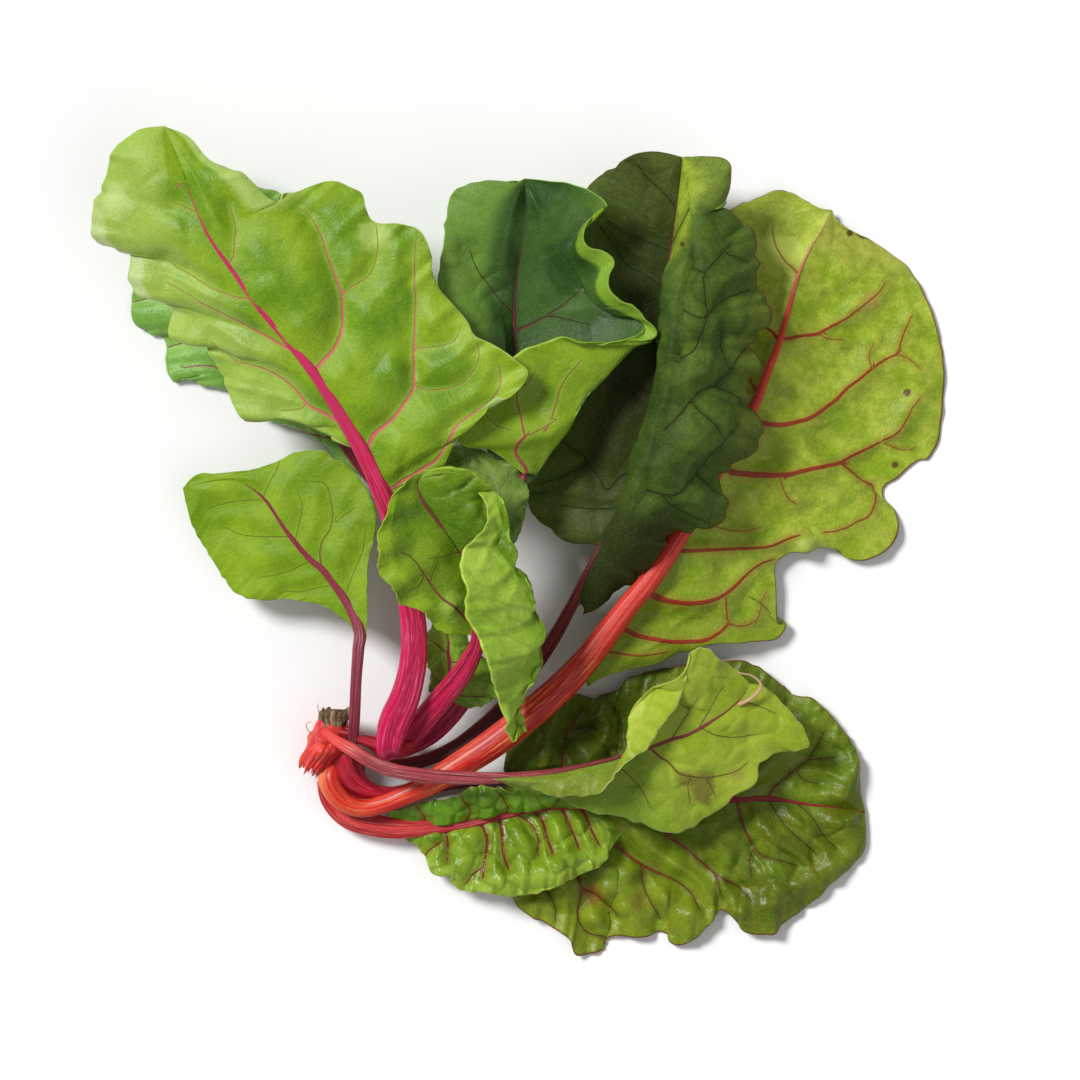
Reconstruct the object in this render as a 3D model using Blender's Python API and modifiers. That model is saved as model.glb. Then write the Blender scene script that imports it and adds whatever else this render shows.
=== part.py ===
"""Bunch of young rainbow chard, laid on its side and held together by its crown.

The frame: +X runs from the crown side to the side of the broad orange-ribbed leaf, +Y
towards the leaf tips at the back, +Z straight up off the surface the bunch lies on.
Each leaf is two bodies: the coloured stalk with its midrib, and the green blade that
lies either side of that midrib. All dimensions below are in millimetres.
"""
import math

import bmesh
import bpy
import numpy as np

MILLIMETRE = 0.001
BUNCH_NAME = "swiss_chard_bunch"

# Driving dimensions
BLADE_THICKNESS = 0.9
RIB_CLEARANCE = 0.6
MIDRIB_END = 0.90
STALK_RING_SPACING = 9.0

# Across a stalk: sideways and upward position of each ring point, as shares of the half width
STALK_SECTION = [(1.0, 0.0), (0.64, 0.42), (0.0, 0.50), (-0.64, 0.42),
                 (-1.0, 0.0), (-0.72, -0.56), (0.0, -0.85), (0.72, -0.56)]

# The crown: a dry cut stub, the torn red block below it and the short arm to the stalks.
# Each ring is x, y, z, half width, half height.
CROWN_RINGS = [(-77.8, -70.4, 14, 3.8, 4),
               (-79, -74.2, 13.5, 5, 5.5),
               (-80.3, -78.8, 13, 5.5, 7),
               (-83.2, -83.8, 11, 8.4, 12),
               (-82.8, -89.7, 10.5, 8.8, 12.5),
               (-77.8, -89.7, 11, 7.1, 11.5),
               (-71.5, -87.6, 11.5, 3.8, 7),
               (-66.8, -86.4, 12, 2.9, 6),
               (-62.2, -85.9, 12, 2.7, 5.5)]

# One entry per leaf. "stalk" runs from the crown to the leaf tip as x, y, z, width; the
# blade starts at its point number "join". "left" and "right" are the margins from the
# join to the tip, with their heights spread evenly along them; a fold line lies between
# midrib and margin where that half of the blade turns over. "sweep" is how strongly the
# side veins lean towards the tip, "rows" and "columns" how finely the blade is divided.
# "quilt" is the rise of the blade between side veins, "ruffle" the waviness of its margin.
LEAVES = [
    {
        "name": "tall_left_leaf",
        "stalk_colour": (0.578, 0.007, 0.091),
        "blade_colour": (0.205, 0.402, 0.017),
        "join": 9,
        "sweep": 1.9,
        "rows": 24,
        "columns": (5, 5),
        "left_start": 0.12,
        "stalk": [(-55.9, -85.5, 26, 10.5), (-54.7, -79.6, 28, 12.2), (-52.6, -73.3, 31, 13),
                  (-49.2, -65.8, 34, 12.6), (-46.7, -57.4, 37, 11.8), (-45, -46.9, 39, 11.3),
                  (-45, -36.4, 41, 10.9), (-46.3, -23.8, 43, 10.5), (-50, -2.8, 46, 9.2),
                  (-57.6, 19.5, 49, 8), (-67.3, 40.1, 52, 6.7), (-82.8, 66.9, 57, 5.2),
                  (-97.5, 84.6, 58, 4.4), (-108.8, 97.6, 59, 3.6), (-119.3, 112.3, 58, 2.9),
                  (-129, 126.2, 57, 2.3), (-135.3, 139.2, 56, 1.9), (-140.8, 156.8, 53, 1.3),
                  (-149.2, 174.5, 48, 0.8)],
        "left": [(-72.3, 42.2), (-79, 43.4), (-80.3, 48.5), (-92.9, 52.7), (-106.3, 58.5),
                 (-116.8, 54.3), (-125.6, 70.3), (-134.9, 86.3), (-147.1, 87.9), (-147.5, 101),
                 (-163, 109.8), (-163.9, 121.5), (-178.1, 128.3), (-178.6, 142.1),
                 (-172.7, 154.7), (-170.2, 164), (-160.1, 172.8), (-149.2, 174.5)],
        "left_heights": [50, 45, 40, 37, 38, 35, 38, 36, 38, 44, 48],
        "right": [(-51.7, 20.7), (-45, 28.7), (-32.8, 32.1), (-26.9, 43.4), (-16, 53.9),
                  (-3.4, 61.5), (2.9, 71.1), (-8, 80.8), (-18.5, 86.3), (-24.8, 95.9),
                  (-35.3, 108.5), (-37.9, 121.1), (-44.6, 132), (-61.4, 134.6), (-66.8, 145.9),
                  (-80.7, 150.9), (-96.2, 145.5), (-103.4, 143), (-113.9, 151.8),
                  (-129.8, 159.3), (-138.2, 169.4), (-149.2, 174.5)],
        "right_heights": [49, 54, 61, 62, 60, 57, 59, 54, 57, 52, 48],
    },
    {
        "name": "hidden_left_leaf",
        "stalk_colour": (0.156, 0.01, 0.017),
        "blade_colour": (0.061, 0.188, 0.021),
        "join": 6,
        "sweep": 1.5,
        "rows": 16,
        "columns": (4, 4),
        "left_start": 0.04,
        "stalk": [(-52.1, -80.5, 11, 5), (-50.5, -72.1, 12, 5.9), (-47.5, -57.4, 14, 6.3),
                  (-46.3, -40.6, 16, 6.3), (-47.5, -19.6, 18, 5.9), (-52.6, 1.4, 18, 5.5),
                  (-59.7, 21.6, 18, 5), (-69.8, 35, 17, 4.6), (-88.7, 60.2, 15, 3.8),
                  (-113.9, 89.6, 12, 2.9), (-134.9, 114.8, 9, 2.1), (-139.1, 135.8, 8, 1.5),
                  (-139.9, 148.4, 8, 1.3)],
        "left": [(-67.7, 28.3), (-78.6, 36.7), (-82, 43), (-94.1, 47.6), (-108.8, 54.3),
                 (-122.3, 62.7), (-131.5, 66.1), (-143.3, 71.6), (-149.6, 72.8), (-151.7, 86.3),
                 (-163.9, 93.8), (-165.1, 104.7), (-163.4, 110.6), (-155.9, 129.5),
                 (-139.9, 148.4)],
        "left_heights": [15, 9, 5, 1, 0, 2, 4, 8],
        "right": [(-55.9, 26.6), (-51.7, 47.6), (-57.2, 81.2), (-67.7, 106.4), (-82.4, 129.5),
                  (-96.2, 145.1), (-114.3, 150.9), (-139.9, 148.4)],
        "right_heights": [18, 22, 24, 22, 20, 16, 8],
    },
    {
        "name": "small_left_leaf",
        "stalk_colour": (0.305, 0.021, 0.08),
        "blade_colour": (0.205, 0.402, 0.026),
        "join": 4,
        "sweep": 1.5,
        "rows": 16,
        "columns": (4, 4),
        "stalk": [(-71, -84.3, 22, 4.2), (-70.2, -74.2, 28, 4.6), (-69.4, -57.4, 31, 4.6),
                  (-68.5, -44.8, 31, 5), (-68.1, -36.4, 30, 5), (-73.6, -24.6, 29, 4.2),
                  (-82.8, -12, 28, 3.4), (-89.5, -6.1, 27, 3.1), (-98.3, 4.4, 26, 2.7),
                  (-108, 18.6, 24, 2.1), (-118.1, 25.8, 22, 1.7), (-128.6, 26.6, 20, 1.3),
                  (-142.9, 23.3, 16, 1.3)],
        "left": [(-71.5, -38.1), (-73.6, -31.8), (-81.1, -27.1), (-88.3, -24.6), (-98.3, -23.4),
                 (-108, -24.2), (-118.1, -22.1), (-124, -17.5), (-130.3, -6.6), (-137.4, 5.2),
                 (-141.2, 16.1), (-142.9, 23.3)],
        "left_heights": [29, 24, 18, 14, 13, 16],
        "right": [(-64.3, -36.4), (-64.7, -20), (-64.3, -7), (-61, 5.6), (-61.4, 14.9),
                  (-63.9, 21.2), (-69.8, 30), (-79.9, 36.7), (-83.2, 38.8), (-94.6, 38.4),
                  (-103, 34.6), (-113, 31.2), (-126.5, 29.6), (-137, 29.1), (-142.9, 23.3)],
        "right_heights": [29, 32, 32, 30, 26, 22, 16],
    },
    {
        "name": "cupped_leaf",
        "stalk_colour": (0.429, 0.007, 0.07),
        "blade_colour": (0.032, 0.114, 0.021),
        "join": 8,
        "sweep": 1.0,
        "rows": 23,
        "columns": (4, 8),
        "stalk": [(-47.5, -86.8, 8, 5.9), (-38.3, -81.7, 10, 6.7), (-31.1, -75, 13, 7.1),
                  (-24.8, -67, 16, 7.1), (-19.4, -58.2, 20, 6.3), (-11.4, -46.9, 24, 5.5),
                  (-8.9, -23.8, 30, 4.2), (-5.5, -0.7, 35, 3.8), (-0.5, 22.4, 38, 3.8),
                  (0.8, 39.2, 38, 3.4), (-0.9, 60.2, 37, 2.9), (-2.6, 79.1, 36, 2.3),
                  (-3, 95.9, 37, 1.9), (-1.7, 114.8, 39, 1.5), (1.6, 135, 42, 1.3),
                  (1.6, 152.6, 47, 0.8)],
        "left": [(-3, 27), (-13.1, 37.1), (-23.6, 56), (-29, 77), (-34.9, 102.2), (-33.2, 127.4),
                 (-30.7, 140.4), (-27.4, 147.6), (-19.8, 150.9), (-13.1, 151.8), (-2.6, 150.9),
                 (1.6, 152.6)],
        "left_heights": [37.4, 42, 46, 47, 48, 50, 47],
        "right": [(1.2, 29.1), (-13.1, 39.2), (-26.9, 43), (-21.5, 60.2), (-4.3, 77.4),
                  (10, 83.3), (29.3, 81.6), (39.8, 84.6), (56.2, 86.7), (48.2, 100.1),
                  (42.4, 103.1), (36.9, 108.5), (39.4, 117.3), (36.1, 122), (29.3, 125.7),
                  (30.2, 131.6), (37.7, 140.4), (26.4, 148.8), (10, 151.8), (1.6, 152.6)],
        "right_heights": [43, 50, 53, 54, 54, 52, 54, 52, 50, 47],
        "right_fold": [(6.2, 28.3), (16.3, 43.4), (28.1, 58.1), (35.6, 66.9), (46.1, 79.1),
                       (55, 84.6), (49.9, 94.7), (33.1, 102.2), (21.4, 119), (16.3, 133.7),
                       (7.9, 146.3), (1.6, 152.6)],
        "right_fold_heights": [38, 45, 46, 47, 48, 46, 40, 42, 45, 47],
    },
    {
        "name": "bronze_leaf",
        "stalk_colour": (0.156, 0.007, 0.01),
        "blade_colour": (0.038, 0.07, 0.021),
        "join": 8,
        "sweep": 1.2,
        "rows": 24,
        "columns": (4, 6),
        "left_start": 0.13,
        "stalk": [(-69.4, -90.6, 4, 4.2), (-61.4, -93.1, 3, 5), (-50.9, -93.9, 3, 5.5),
                  (-40.4, -91.8, 3.5, 5.5), (-30.7, -87.6, 4, 5.5), (-21.5, -81.3, 5.5, 5.5),
                  (-6.8, -68.3, 9, 6.3), (11.3, -43.9, 14, 5.9), (21.8, -25.5, 18, 5),
                  (28.9, -12, 20, 5), (36.5, 1.4, 22, 5), (44, 14, 24, 5), (53.3, 46.8, 27, 3.8),
                  (60, 73.2, 28, 2.9), (61.7, 108.9, 28, 2.3), (64.2, 129.9, 28, 1.9),
                  (67.1, 152.6, 30, 1.3), (68, 162.3, 32, 1.3)],
        "left": [(32.3, 1.4), (25.6, 0.6), (18.4, 1.4), (11.7, 6.9), (5, 12.3), (2.5, 22.8),
                 (6.2, 43.4), (14.6, 64.4), (22.6, 85.4), (24.7, 106.4), (23.9, 127.4),
                 (27.2, 149.3), (39.4, 158.5), (48.7, 164), (56.6, 164.8), (68, 162.3)],
        "left_heights": [20, 16, 15, 17, 19, 21, 25, 30, 32],
        "right": [(26, -30.1), (33.1, -26.7), (42.4, -17.9), (48.2, -16.6), (48.7, -12.9),
                  (56.2, -1.5), (60, 4.8), (73.9, 6), (81, 9), (85.2, 15.7), (84.4, 27.5),
                  (95.7, 37.5), (98.6, 48), (97, 53.9), (94.4, 66.5), (98.6, 75.8), (94.4, 82.5),
                  (99.1, 89.6), (103.7, 93), (104.5, 98.9), (99.1, 110.2), (98.2, 127.4),
                  (92.3, 134.6), (84.4, 139.2), (81.4, 144.6), (85.2, 150.5), (87.7, 157.7),
                  (84.4, 161.4), (75.1, 162.3), (68, 162.3)],
        "right_heights": [18, 20, 30, 32, 30, 32, 32, 31, 34, 36, 32],
        "right_fold": [(26, -26.3), (33.1, -15.4), (42.4, -1.9), (49.9, 14), (59.2, 43.4),
                       (65, 68.6), (68.4, 98), (72.6, 121.1), (72.6, 140), (70.9, 152.6),
                       (68, 162.3)],
        "right_fold_heights": [19, 30, 44, 50, 51, 50, 46, 38, 34],
    },
    {
        "name": "broad_right_leaf",
        "stalk_colour": (0.753, 0.07, 0.026),
        "blade_colour": (0.223, 0.376, 0.021),
        "join": 11,
        "sweep": 1.15,
        "rows": 25,
        "columns": (4, 6),
        "left_start": 0.24,
        "underside_up": True,
        "stalk": [(-81.1, -99, 14, 9.7), (-78.6, -105.3, 14, 9.2), (-74, -109.9, 14, 8.4),
                  (-66.8, -112, 14, 7.6), (-58.4, -110.3, 15, 7.6), (-49.2, -106.5, 16, 8),
                  (-39.5, -101.9, 17, 9.7), (-27.8, -94.8, 18, 11.3), (-11, -83.8, 20, 12.6),
                  (3.7, -72.1, 21, 12.6), (16.3, -61.2, 22, 12.2), (25.1, -51.9, 22, 11.3),
                  (34, -41, 22, 10.5), (44.9, -26.7, 22, 9.2), (54.5, -15, 22, 8.8),
                  (68.4, 5.6, 21, 7.1), (82.7, 30.4, 20, 5.5), (97, 54.8, 19, 4.2),
                  (104.1, 72.8, 18, 3.4), (109.1, 85.4, 16, 2.7), (112.9, 98.9, 14, 2.1),
                  (117.1, 113.1, 11, 1.7), (122.2, 124.5, 8, 1.3), (127.2, 132, 6, 0.9),
                  (131.8, 141.3, 4, 0.8)],
        "left": [(60, 1.4), (61.7, 6.5), (70.9, 26.6), (80.2, 47.6), (86.9, 68.6), (91.9, 89.6),
                 (94, 110.6), (91.1, 127.4), (85.2, 138.3), (93.2, 144.6), (102.4, 147.6),
                 (108.3, 149.7), (115.4, 148), (125.5, 142.5), (131.8, 141.3)],
        "left_heights": [20, 15, 12, 10, 8, 6, 4, 4],
        "right": [(29.8, -55.7), (28.1, -60.3), (35.6, -56.1), (49.9, -52.8), (58.3, -51.1),
                  (64.6, -46.9), (71.3, -45.2), (80.6, -41.8), (93.2, -41.8), (108.7, -41.4),
                  (113.3, -33), (110, -28.8), (108.3, -17.1), (108.3, -7.8), (117.1, -3.6),
                  (130.6, -2.4), (135.6, -5.7), (144, -7.4), (154.5, -3.2), (159.5, 5.2),
                  (158.7, 14), (154.5, 23.3), (160.4, 26.6), (168.4, 33.8), (173.4, 35.4),
                  (177.6, 44.7), (178.4, 55.6), (179.3, 67.8), (179.3, 78.7), (175.1, 96.8),
                  (170, 107.7), (164.2, 117.8), (157, 123.6), (147.4, 129.9), (139.4, 132.9),
                  (133.5, 136.7), (131.8, 141.3)],
        "right_heights": [20, 15, 11, 9, 7, 6, 3, 1, 0, 1, 2, 3, 4],
    },
    {
        "name": "folded_front_leaf",
        "stalk_colour": (0.546, 0.007, 0.08),
        "blade_colour": (0.188, 0.429, 0.01),
        "join": 6,
        "sweep": 0.9,
        "rows": 20,
        "columns": (4, 7),
        "stalk": [(-49.6, -86.4, 17, 6.7), (-45.4, -80.1, 20, 8.4), (-40, -72.9, 25, 9.7),
                  (-33.7, -65.4, 31, 9.7), (-26.9, -57.4, 37, 9.2), (-21.5, -49, 43, 8),
                  (-18.1, -38.9, 48, 5.5), (-20.6, -19.6, 53, 2.7), (-24.8, -5.3, 57, 1.9),
                  (-32.8, 6.5, 60, 1.5), (-40.4, 17, 63, 1.3), (-43.3, 24.5, 64, 1.1),
                  (-40.4, 29.6, 65, 0.8)],
        "left": [(-22.3, -38.1), (-34.1, -36.4), (-42.1, -27.6), (-50, -25.5), (-53.8, -18.7),
                 (-58.9, -11.2), (-59.3, -0.7), (-57.2, 9.8), (-53, 19.5), (-47.1, 27),
                 (-40.4, 29.6)],
        "left_heights": [49, 54, 62, 67, 69, 68, 65],
        "right": [(-14.8, -40.6), (-3, -81.7), (-6.4, -77.1), (-5.5, -74.2), (-9.7, -61.6),
                  (-14.3, -49.4), (-15.6, -38.9), (-19.8, -29.2), (-18.5, -19.6), (-21.9, -12.9),
                  (-21.1, -3.6), (-15.2, 5.6), (-13.5, 14), (-15.6, 19.5), (-19, 25.8),
                  (-25.7, 30), (-32.4, 31.2), (-40.4, 29.6)],
        "right_heights": [46, 37, 46, 58, 68, 73, 75, 73, 69, 65],
        "right_fold": [(-11.4, -44.8), (1.2, -80.9), (1.2, -73.3), (5, -65.8), (8.3, -58.6),
                       (6.7, -47.3), (10, -41.8), (5, -34.7), (7.5, -28.4), (5, -18.7),
                       (-0.1, -14.5), (0.8, -6.1), (-2.6, 1.4), (-4.3, 12.3), (-11, 23.7),
                       (-18.1, 30.4), (-29.9, 32.1), (-40.4, 29.6)],
        "right_fold_heights": [45, 35, 42, 51, 60, 65, 68, 68, 67, 65],
    },
    {
        "name": "twisted_leaf",
        "stalk_colour": (0.376, 0.045, 0.102),
        "blade_colour": (0.188, 0.402, 0.017),
        "join": 7,
        "sweep": 1.05,
        "rows": 20,
        "columns": (7, 5),
        "stalk": [(-77.3, -83.4, 27, 4.6), (-71, -86.8, 30.5, 5.5), (-64.3, -91, 32, 5.5),
                  (-55.9, -94.8, 32, 5.9), (-45.8, -96.9, 33, 5.9), (-34.1, -98.1, 33, 5.9),
                  (-13.1, -98.5, 33, 5.5), (-0.5, -97.7, 33, 5), (15.9, -95.6, 34, 4),
                  (36.9, -91, 34, 2.9), (49.9, -87.2, 34, 2.3), (63.4, -82.2, 34, 1.9),
                  (70.5, -80.1, 33, 1.7), (84.8, -71.7, 31, 1.3), (92.8, -64.5, 28, 1.1),
                  (96.1, -59.1, 27, 0.8)],
        "rolls": [0, 0, 0, 0, 0, 0, 30, 70, 80, 80, 45, 10, 0, 0, 0, 0],
        "left": [(-6.4, -100.6), (11.7, -105.3), (28.9, -105.7), (38.2, -99.8), (45.7, -91),
                 (54.1, -84.7), (58.3, -76.7), (66.7, -65.8), (70.9, -46.9), (77.6, -43.5),
                 (80.6, -46.9), (86.9, -50.7), (91.9, -54.4), (96.1, -59.1)],
        "left_heights": [35, 36, 37, 40, 44, 46, 45, 44, 44, 42, 38, 30, 27],
        "left_fold": [(-6.4, -98.5), (11.7, -101.1), (28.9, -99), (38.2, -95.2), (43.2, -87.6),
                      (43.6, -78.4), (46.6, -69.1), (56.2, -57.8), (67.6, -57.4), (75.1, -55.7),
                      (81, -55.7), (87.7, -57), (92.8, -58.2), (96.1, -59.1)],
        "left_fold_heights": [36, 38, 39, 40, 40, 42, 43, 44, 44, 42, 40, 35, 31, 27],
        "right": [(-8.9, -100.6), (3.7, -104.4), (18.4, -108.2), (31.9, -112.8), (47, -117),
                  (62.5, -120.8), (69.7, -120), (77.6, -115.8), (84.8, -112), (89, -106.5),
                  (97.8, -100.6), (99.9, -94.3), (106.2, -89.3), (117.1, -87.2), (120.9, -83.4),
                  (113.3, -71.2), (103.7, -61.2), (96.1, -59.1)],
        "right_heights": [30, 26, 25, 24, 24, 24, 24, 23, 23, 24, 27],
    },
    {
        "name": "crinkled_leaf",
        "stalk_colour": (0.644, 0.032, 0.038),
        "blade_colour": (0.102, 0.283, 0.017),
        "join": 5,
        "sweep": 1.1,
        "rows": 20,
        "columns": (4, 5),
        "stalk": [(-84.1, -100.6, 4, 5), (-82.4, -107.8, 4, 5.9), (-78.2, -113.7, 4, 6.7),
                  (-71.9, -117.4, 4.2, 8.4), (-62.6, -119.5, 4.6, 9.2), (-53.4, -120.8, 5, 8.8),
                  (-44.2, -120.8, 6, 7.1), (-34.1, -120, 7, 5.5), (-24.8, -119.1, 8, 4.2),
                  (-15.6, -117, 9, 3.6), (-6.4, -114.9, 9.5, 3.1), (3.7, -112.8, 10.5, 2.7),
                  (18.8, -111.6, 11, 2.1), (33.1, -113.2, 10, 1.5), (46.6, -117.9, 9, 1.3)],
        "left": [(-56.8, -113.7), (-50.9, -112), (-41.2, -109), (-27.4, -104.8), (-17.3, -101.9),
                 (0.8, -102.7), (16.3, -104.4), (31, -106.9), (41.5, -112.8), (46.6, -117.9)],
        "left_heights": [10, 12, 15, 17, 18, 16, 13, 9],
        "right": [(-47.5, -126.7), (-43.7, -127.9), (-40.4, -133.8), (-37, -140.1),
                  (-27.8, -141.4), (-26.5, -146.8), (-14.8, -147.7), (-4.7, -149.4),
                  (7.9, -147.7), (20.5, -142.2), (33.1, -136.3), (38.2, -128.4), (46.6, -117.9)],
        "right_heights": [5, 7, 10, 12, 13, 12, 10, 9],
    },
    {
        "name": "low_right_leaf",
        "stalk_colour": (0.223, 0.013, 0.017),
        "blade_colour": (0.07, 0.205, 0.013),
        "join": 5,
        "sweep": 1.4,
        "rows": 24,
        "columns": (5, 5),
        "stalk": [(-66.8, -110.3, 2.2, 3.4), (-61.8, -109.9, 2.4, 3.8),
                  (-54.2, -107.8, 2.5, 4.2), (-38.3, -103.6, 2.5, 5), (-21.5, -100.6, 2.5, 5.5),
                  (-5.5, -99.8, 3, 5), (16.3, -99.4, 3.5, 4.6), (41.5, -101.9, 4, 4.2),
                  (66.7, -105.7, 4.5, 3.8), (86.9, -108.2, 5, 3.4), (104.9, -108.2, 5, 2.5),
                  (123.4, -110.7, 4, 1.9), (145.7, -114.1, 2, 1.3)],
        "left": [(-7.6, -96), (-5.1, -85.1), (-0.9, -82.2), (10.4, -73.3), (22.2, -64.1),
                 (29.3, -65.4), (39.8, -62), (44.5, -57), (56.2, -54), (66.7, -52.3),
                 (86.9, -50.2), (96.1, -50.7), (104.9, -55.7), (116.3, -64.5), (123.4, -66.2),
                 (131.4, -73.3), (137.7, -81.3), (141.9, -89.3), (143.6, -103.6),
                 (145.7, -114.1)],
        "left_heights": [3, 5, 7, 5, 3, 2, 1, 1, 1, 2],
        "right": [(-6.4, -103.6), (-8.9, -128.8), (-3.8, -149.4), (1.2, -156.5), (11.3, -161.5),
                  (20.9, -167.8), (23.5, -174.6), (34.8, -172.9), (36.1, -167.8), (41.1, -166.6),
                  (51.2, -166.6), (61.3, -164.9), (63.8, -169.9), (69.7, -169.9), (77.6, -162.8),
                  (84.4, -154.8), (91.9, -159.9), (96.1, -165.3), (107, -165.3), (111.2, -160.7),
                  (122.6, -152.7), (131.4, -144.3), (140.6, -136.3), (145.7, -128.8),
                  (145.7, -114.1)],
        "right_heights": [3, 2, 1, 1, 0, 0, 0, 1, 1, 2],
    },
    {
        "name": "tucked_leaf",
        "stalk_colour": (0.188, 0.305, 0.08),
        "blade_colour": (0.045, 0.141, 0.017),
        "join": 2,
        "sweep": 1.2,
        "rows": 10,
        "columns": (3, 3),
        "stalk": [(-8.9, -35.5, 31.5, 2.9), (-9.3, -23.8, 36, 2.9), (-10.1, -8.2, 40, 2.5),
                  (-9.7, 3.5, 42, 2.1), (-8.9, 18.2, 43, 1.7), (-13.9, 31.7, 43, 1.5),
                  (-24.8, 41.3, 42, 1.3)],
        "left": [(-17.3, -5.3), (-23.2, 5.6), (-29, 18.2), (-34.1, 30), (-34.1, 39.2),
                 (-24.8, 41.3)],
        "left_heights": [42, 44, 45, 45, 43, 42],
        "right": [(-4.7, -3.6), (-0.9, 3.5), (2, 13.2), (2.5, 24.5), (-3.8, 33.3), (-13.1, 38),
                  (-24.8, 41.3)],
        "right_heights": [42, 42, 41, 41, 42, 43, 42],
    },
    {
        "name": "baby_leaf",
        "stalk_colour": (0.305, 0.021, 0.061),
        "blade_colour": (0.102, 0.262, 0.021),
        "join": 2,
        "sweep": 1.2,
        "rows": 10,
        "columns": (3, 3),
        "stalk": [(-39.1, -77.5, 15, 3.4), (-35.3, -70.8, 19, 3.4), (-31.1, -65.8, 23, 2.9),
                  (-29.9, -57.4, 27, 2.5), (-30.3, -46.9, 30, 2.1), (-30.7, -38.5, 33, 1.5),
                  (-34.1, -30.1, 36, 1.3)],
        "left": [(-34.1, -65.8), (-38.3, -61.6), (-38.3, -54), (-40, -46.9), (-39.1, -37.2),
                 (-34.1, -30.1)],
        "left_heights": [23, 25, 28, 30, 33, 36],
        "right": [(-27.4, -67.5), (-18.1, -69.1), (-12.2, -65.8), (-8.9, -60.7), (-12.2, -52.3),
                  (-19, -44.8), (-24.8, -36.4), (-34.1, -30.1)],
        "right_heights": [23, 26, 28, 30, 31, 34, 36],
    },
]


def smooth_curve(points, steps=8):
    """A dense curve running smoothly through the given points."""
    known = np.array(points, dtype=float)
    if known.ndim == 1:
        known = known[:, None]
    padded = np.vstack([2 * known[0] - known[1], known, 2 * known[-1] - known[-2]])
    dense = []
    for i in range(1, len(padded) - 2):
        before, start, end, after = padded[i - 1:i + 3]
        for k in range(steps):
            u = k / steps
            dense.append(0.5 * (2 * start + (end - before) * u
                                + (2 * before - 5 * start + 4 * end - after) * u ** 2
                                + (3 * start - before - 3 * end + after) * u ** 3))
    dense.append(padded[-2])
    return np.array(dense)


def along(curve, shares):
    """The curve's points at the given shares of its length."""
    steps = np.linalg.norm(np.diff(curve[:, :3], axis=0), axis=1)
    length = np.concatenate([[0.0], np.cumsum(steps)])
    at = np.asarray(shares) * length[-1]
    return np.column_stack([np.interp(at, length, column) for column in curve.T])


def line_with_heights(outline, heights, shares):
    """Points along a plan line whose heights are spread evenly along its length."""
    plan = along(smooth_curve(outline), shares)
    levels = smooth_curve(heights)[:, 0]
    z = np.interp(shares, np.linspace(0.0, 1.0, len(levels)), levels)
    return np.column_stack([plan, z])


def side_directions(path, rolls):
    """Unit vectors pointing to the right of the path, rolled about it."""
    travel = np.gradient(path, axis=0)
    travel /= np.linalg.norm(travel, axis=1)[:, None]
    right = np.column_stack([travel[:, 1], -travel[:, 0], np.zeros(len(path))])
    right /= np.linalg.norm(right, axis=1)[:, None]
    up = np.cross(right, travel)
    angle = np.radians(rolls)[:, None]
    return np.cos(angle) * right - np.sin(angle) * up, np.cos(angle) * up + np.sin(angle) * right


def midrib_shares(leaf, start=0.0):
    """Where each row of the blade leaves the midrib, and the row at which the slot closes."""
    rows = np.linspace(0.0, 1.0, leaf["rows"] + 1)
    shares = 1.0 - (1.0 - rows ** leaf["sweep"]) ** 1.3
    last_row = min(int(np.argmax(shares >= MIDRIB_END)), leaf["rows"] - 2)
    shares[:last_row] = start + (1.0 - start) * shares[:last_row]
    return rows, shares, last_row


def leaf_lines(leaf, start=0.0):
    """Stalk and midrib samples: x, y, z, width, roll and the right and up directions."""
    rolls = leaf.get("rolls", [0.0] * len(leaf["stalk"]))
    points = [tuple(point) + (roll,) for point, roll in zip(leaf["stalk"], rolls)]
    dense = smooth_curve(points)
    right, up = side_directions(dense[:, :3], dense[:, 4])
    dense = np.hstack([dense, right, up])
    join = leaf["join"] * 8
    petiole, midrib = dense[:join + 1], dense[join:]
    rib_rows = along(midrib, midrib_shares(leaf, start)[1])
    length = np.linalg.norm(np.diff(petiole[:, :3], axis=0), axis=1).sum()
    rings = max(3, round(length / STALK_RING_SPACING))
    petiole_rings = along(petiole, np.linspace(0.0, 1.0, rings + 1))
    return rib_rows, petiole_rings


def blade_half(inner, fold, margin, columns):
    """Grid of points from beside the midrib to the margin, over the fold if there is one."""
    t = np.linspace(0.0, 1.0, columns + 1)[None, :, None]
    inner = inner[:, None, :]
    margin = margin[:, None, :]
    if fold is None:
        return inner + (margin - inner) * t
    fold = fold[:, None, :]
    near = np.linalg.norm(fold - inner, axis=2, keepdims=True) + 1e-6
    far = np.linalg.norm(margin - fold, axis=2, keepdims=True) + 1e-6
    crest = np.clip(near / (near + far), 0.25, 0.75)
    return (inner * (t - crest) * (t - 1) / crest
            + fold * t * (t - 1) / (crest * (crest - 1))
            + margin * t * (t - crest) / (1 - crest))


def relief(leaf, rows, columns, side):
    """Height of the quilting between side veins and of the wavy margin."""
    s = rows[:, None]
    t = np.linspace(0.0, 1.0, columns + 1)[None, :]
    fade = np.clip(np.minimum(s, 1.0 - s) * 6.0, 0.0, 1.0)
    quilt = leaf.get("quilt", 1.2) * np.abs(np.sin(math.pi * leaf.get("veins", 6) * s))
    quilt = quilt * np.sin(math.pi * np.clip(t * 1.08, 0.0, 1.0))
    wave = leaf.get("ruffle", 1.5) * np.sin(2 * math.pi * leaf.get("waves", 5) * s + side)
    return (quilt + wave * t ** 2) * fade


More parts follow.
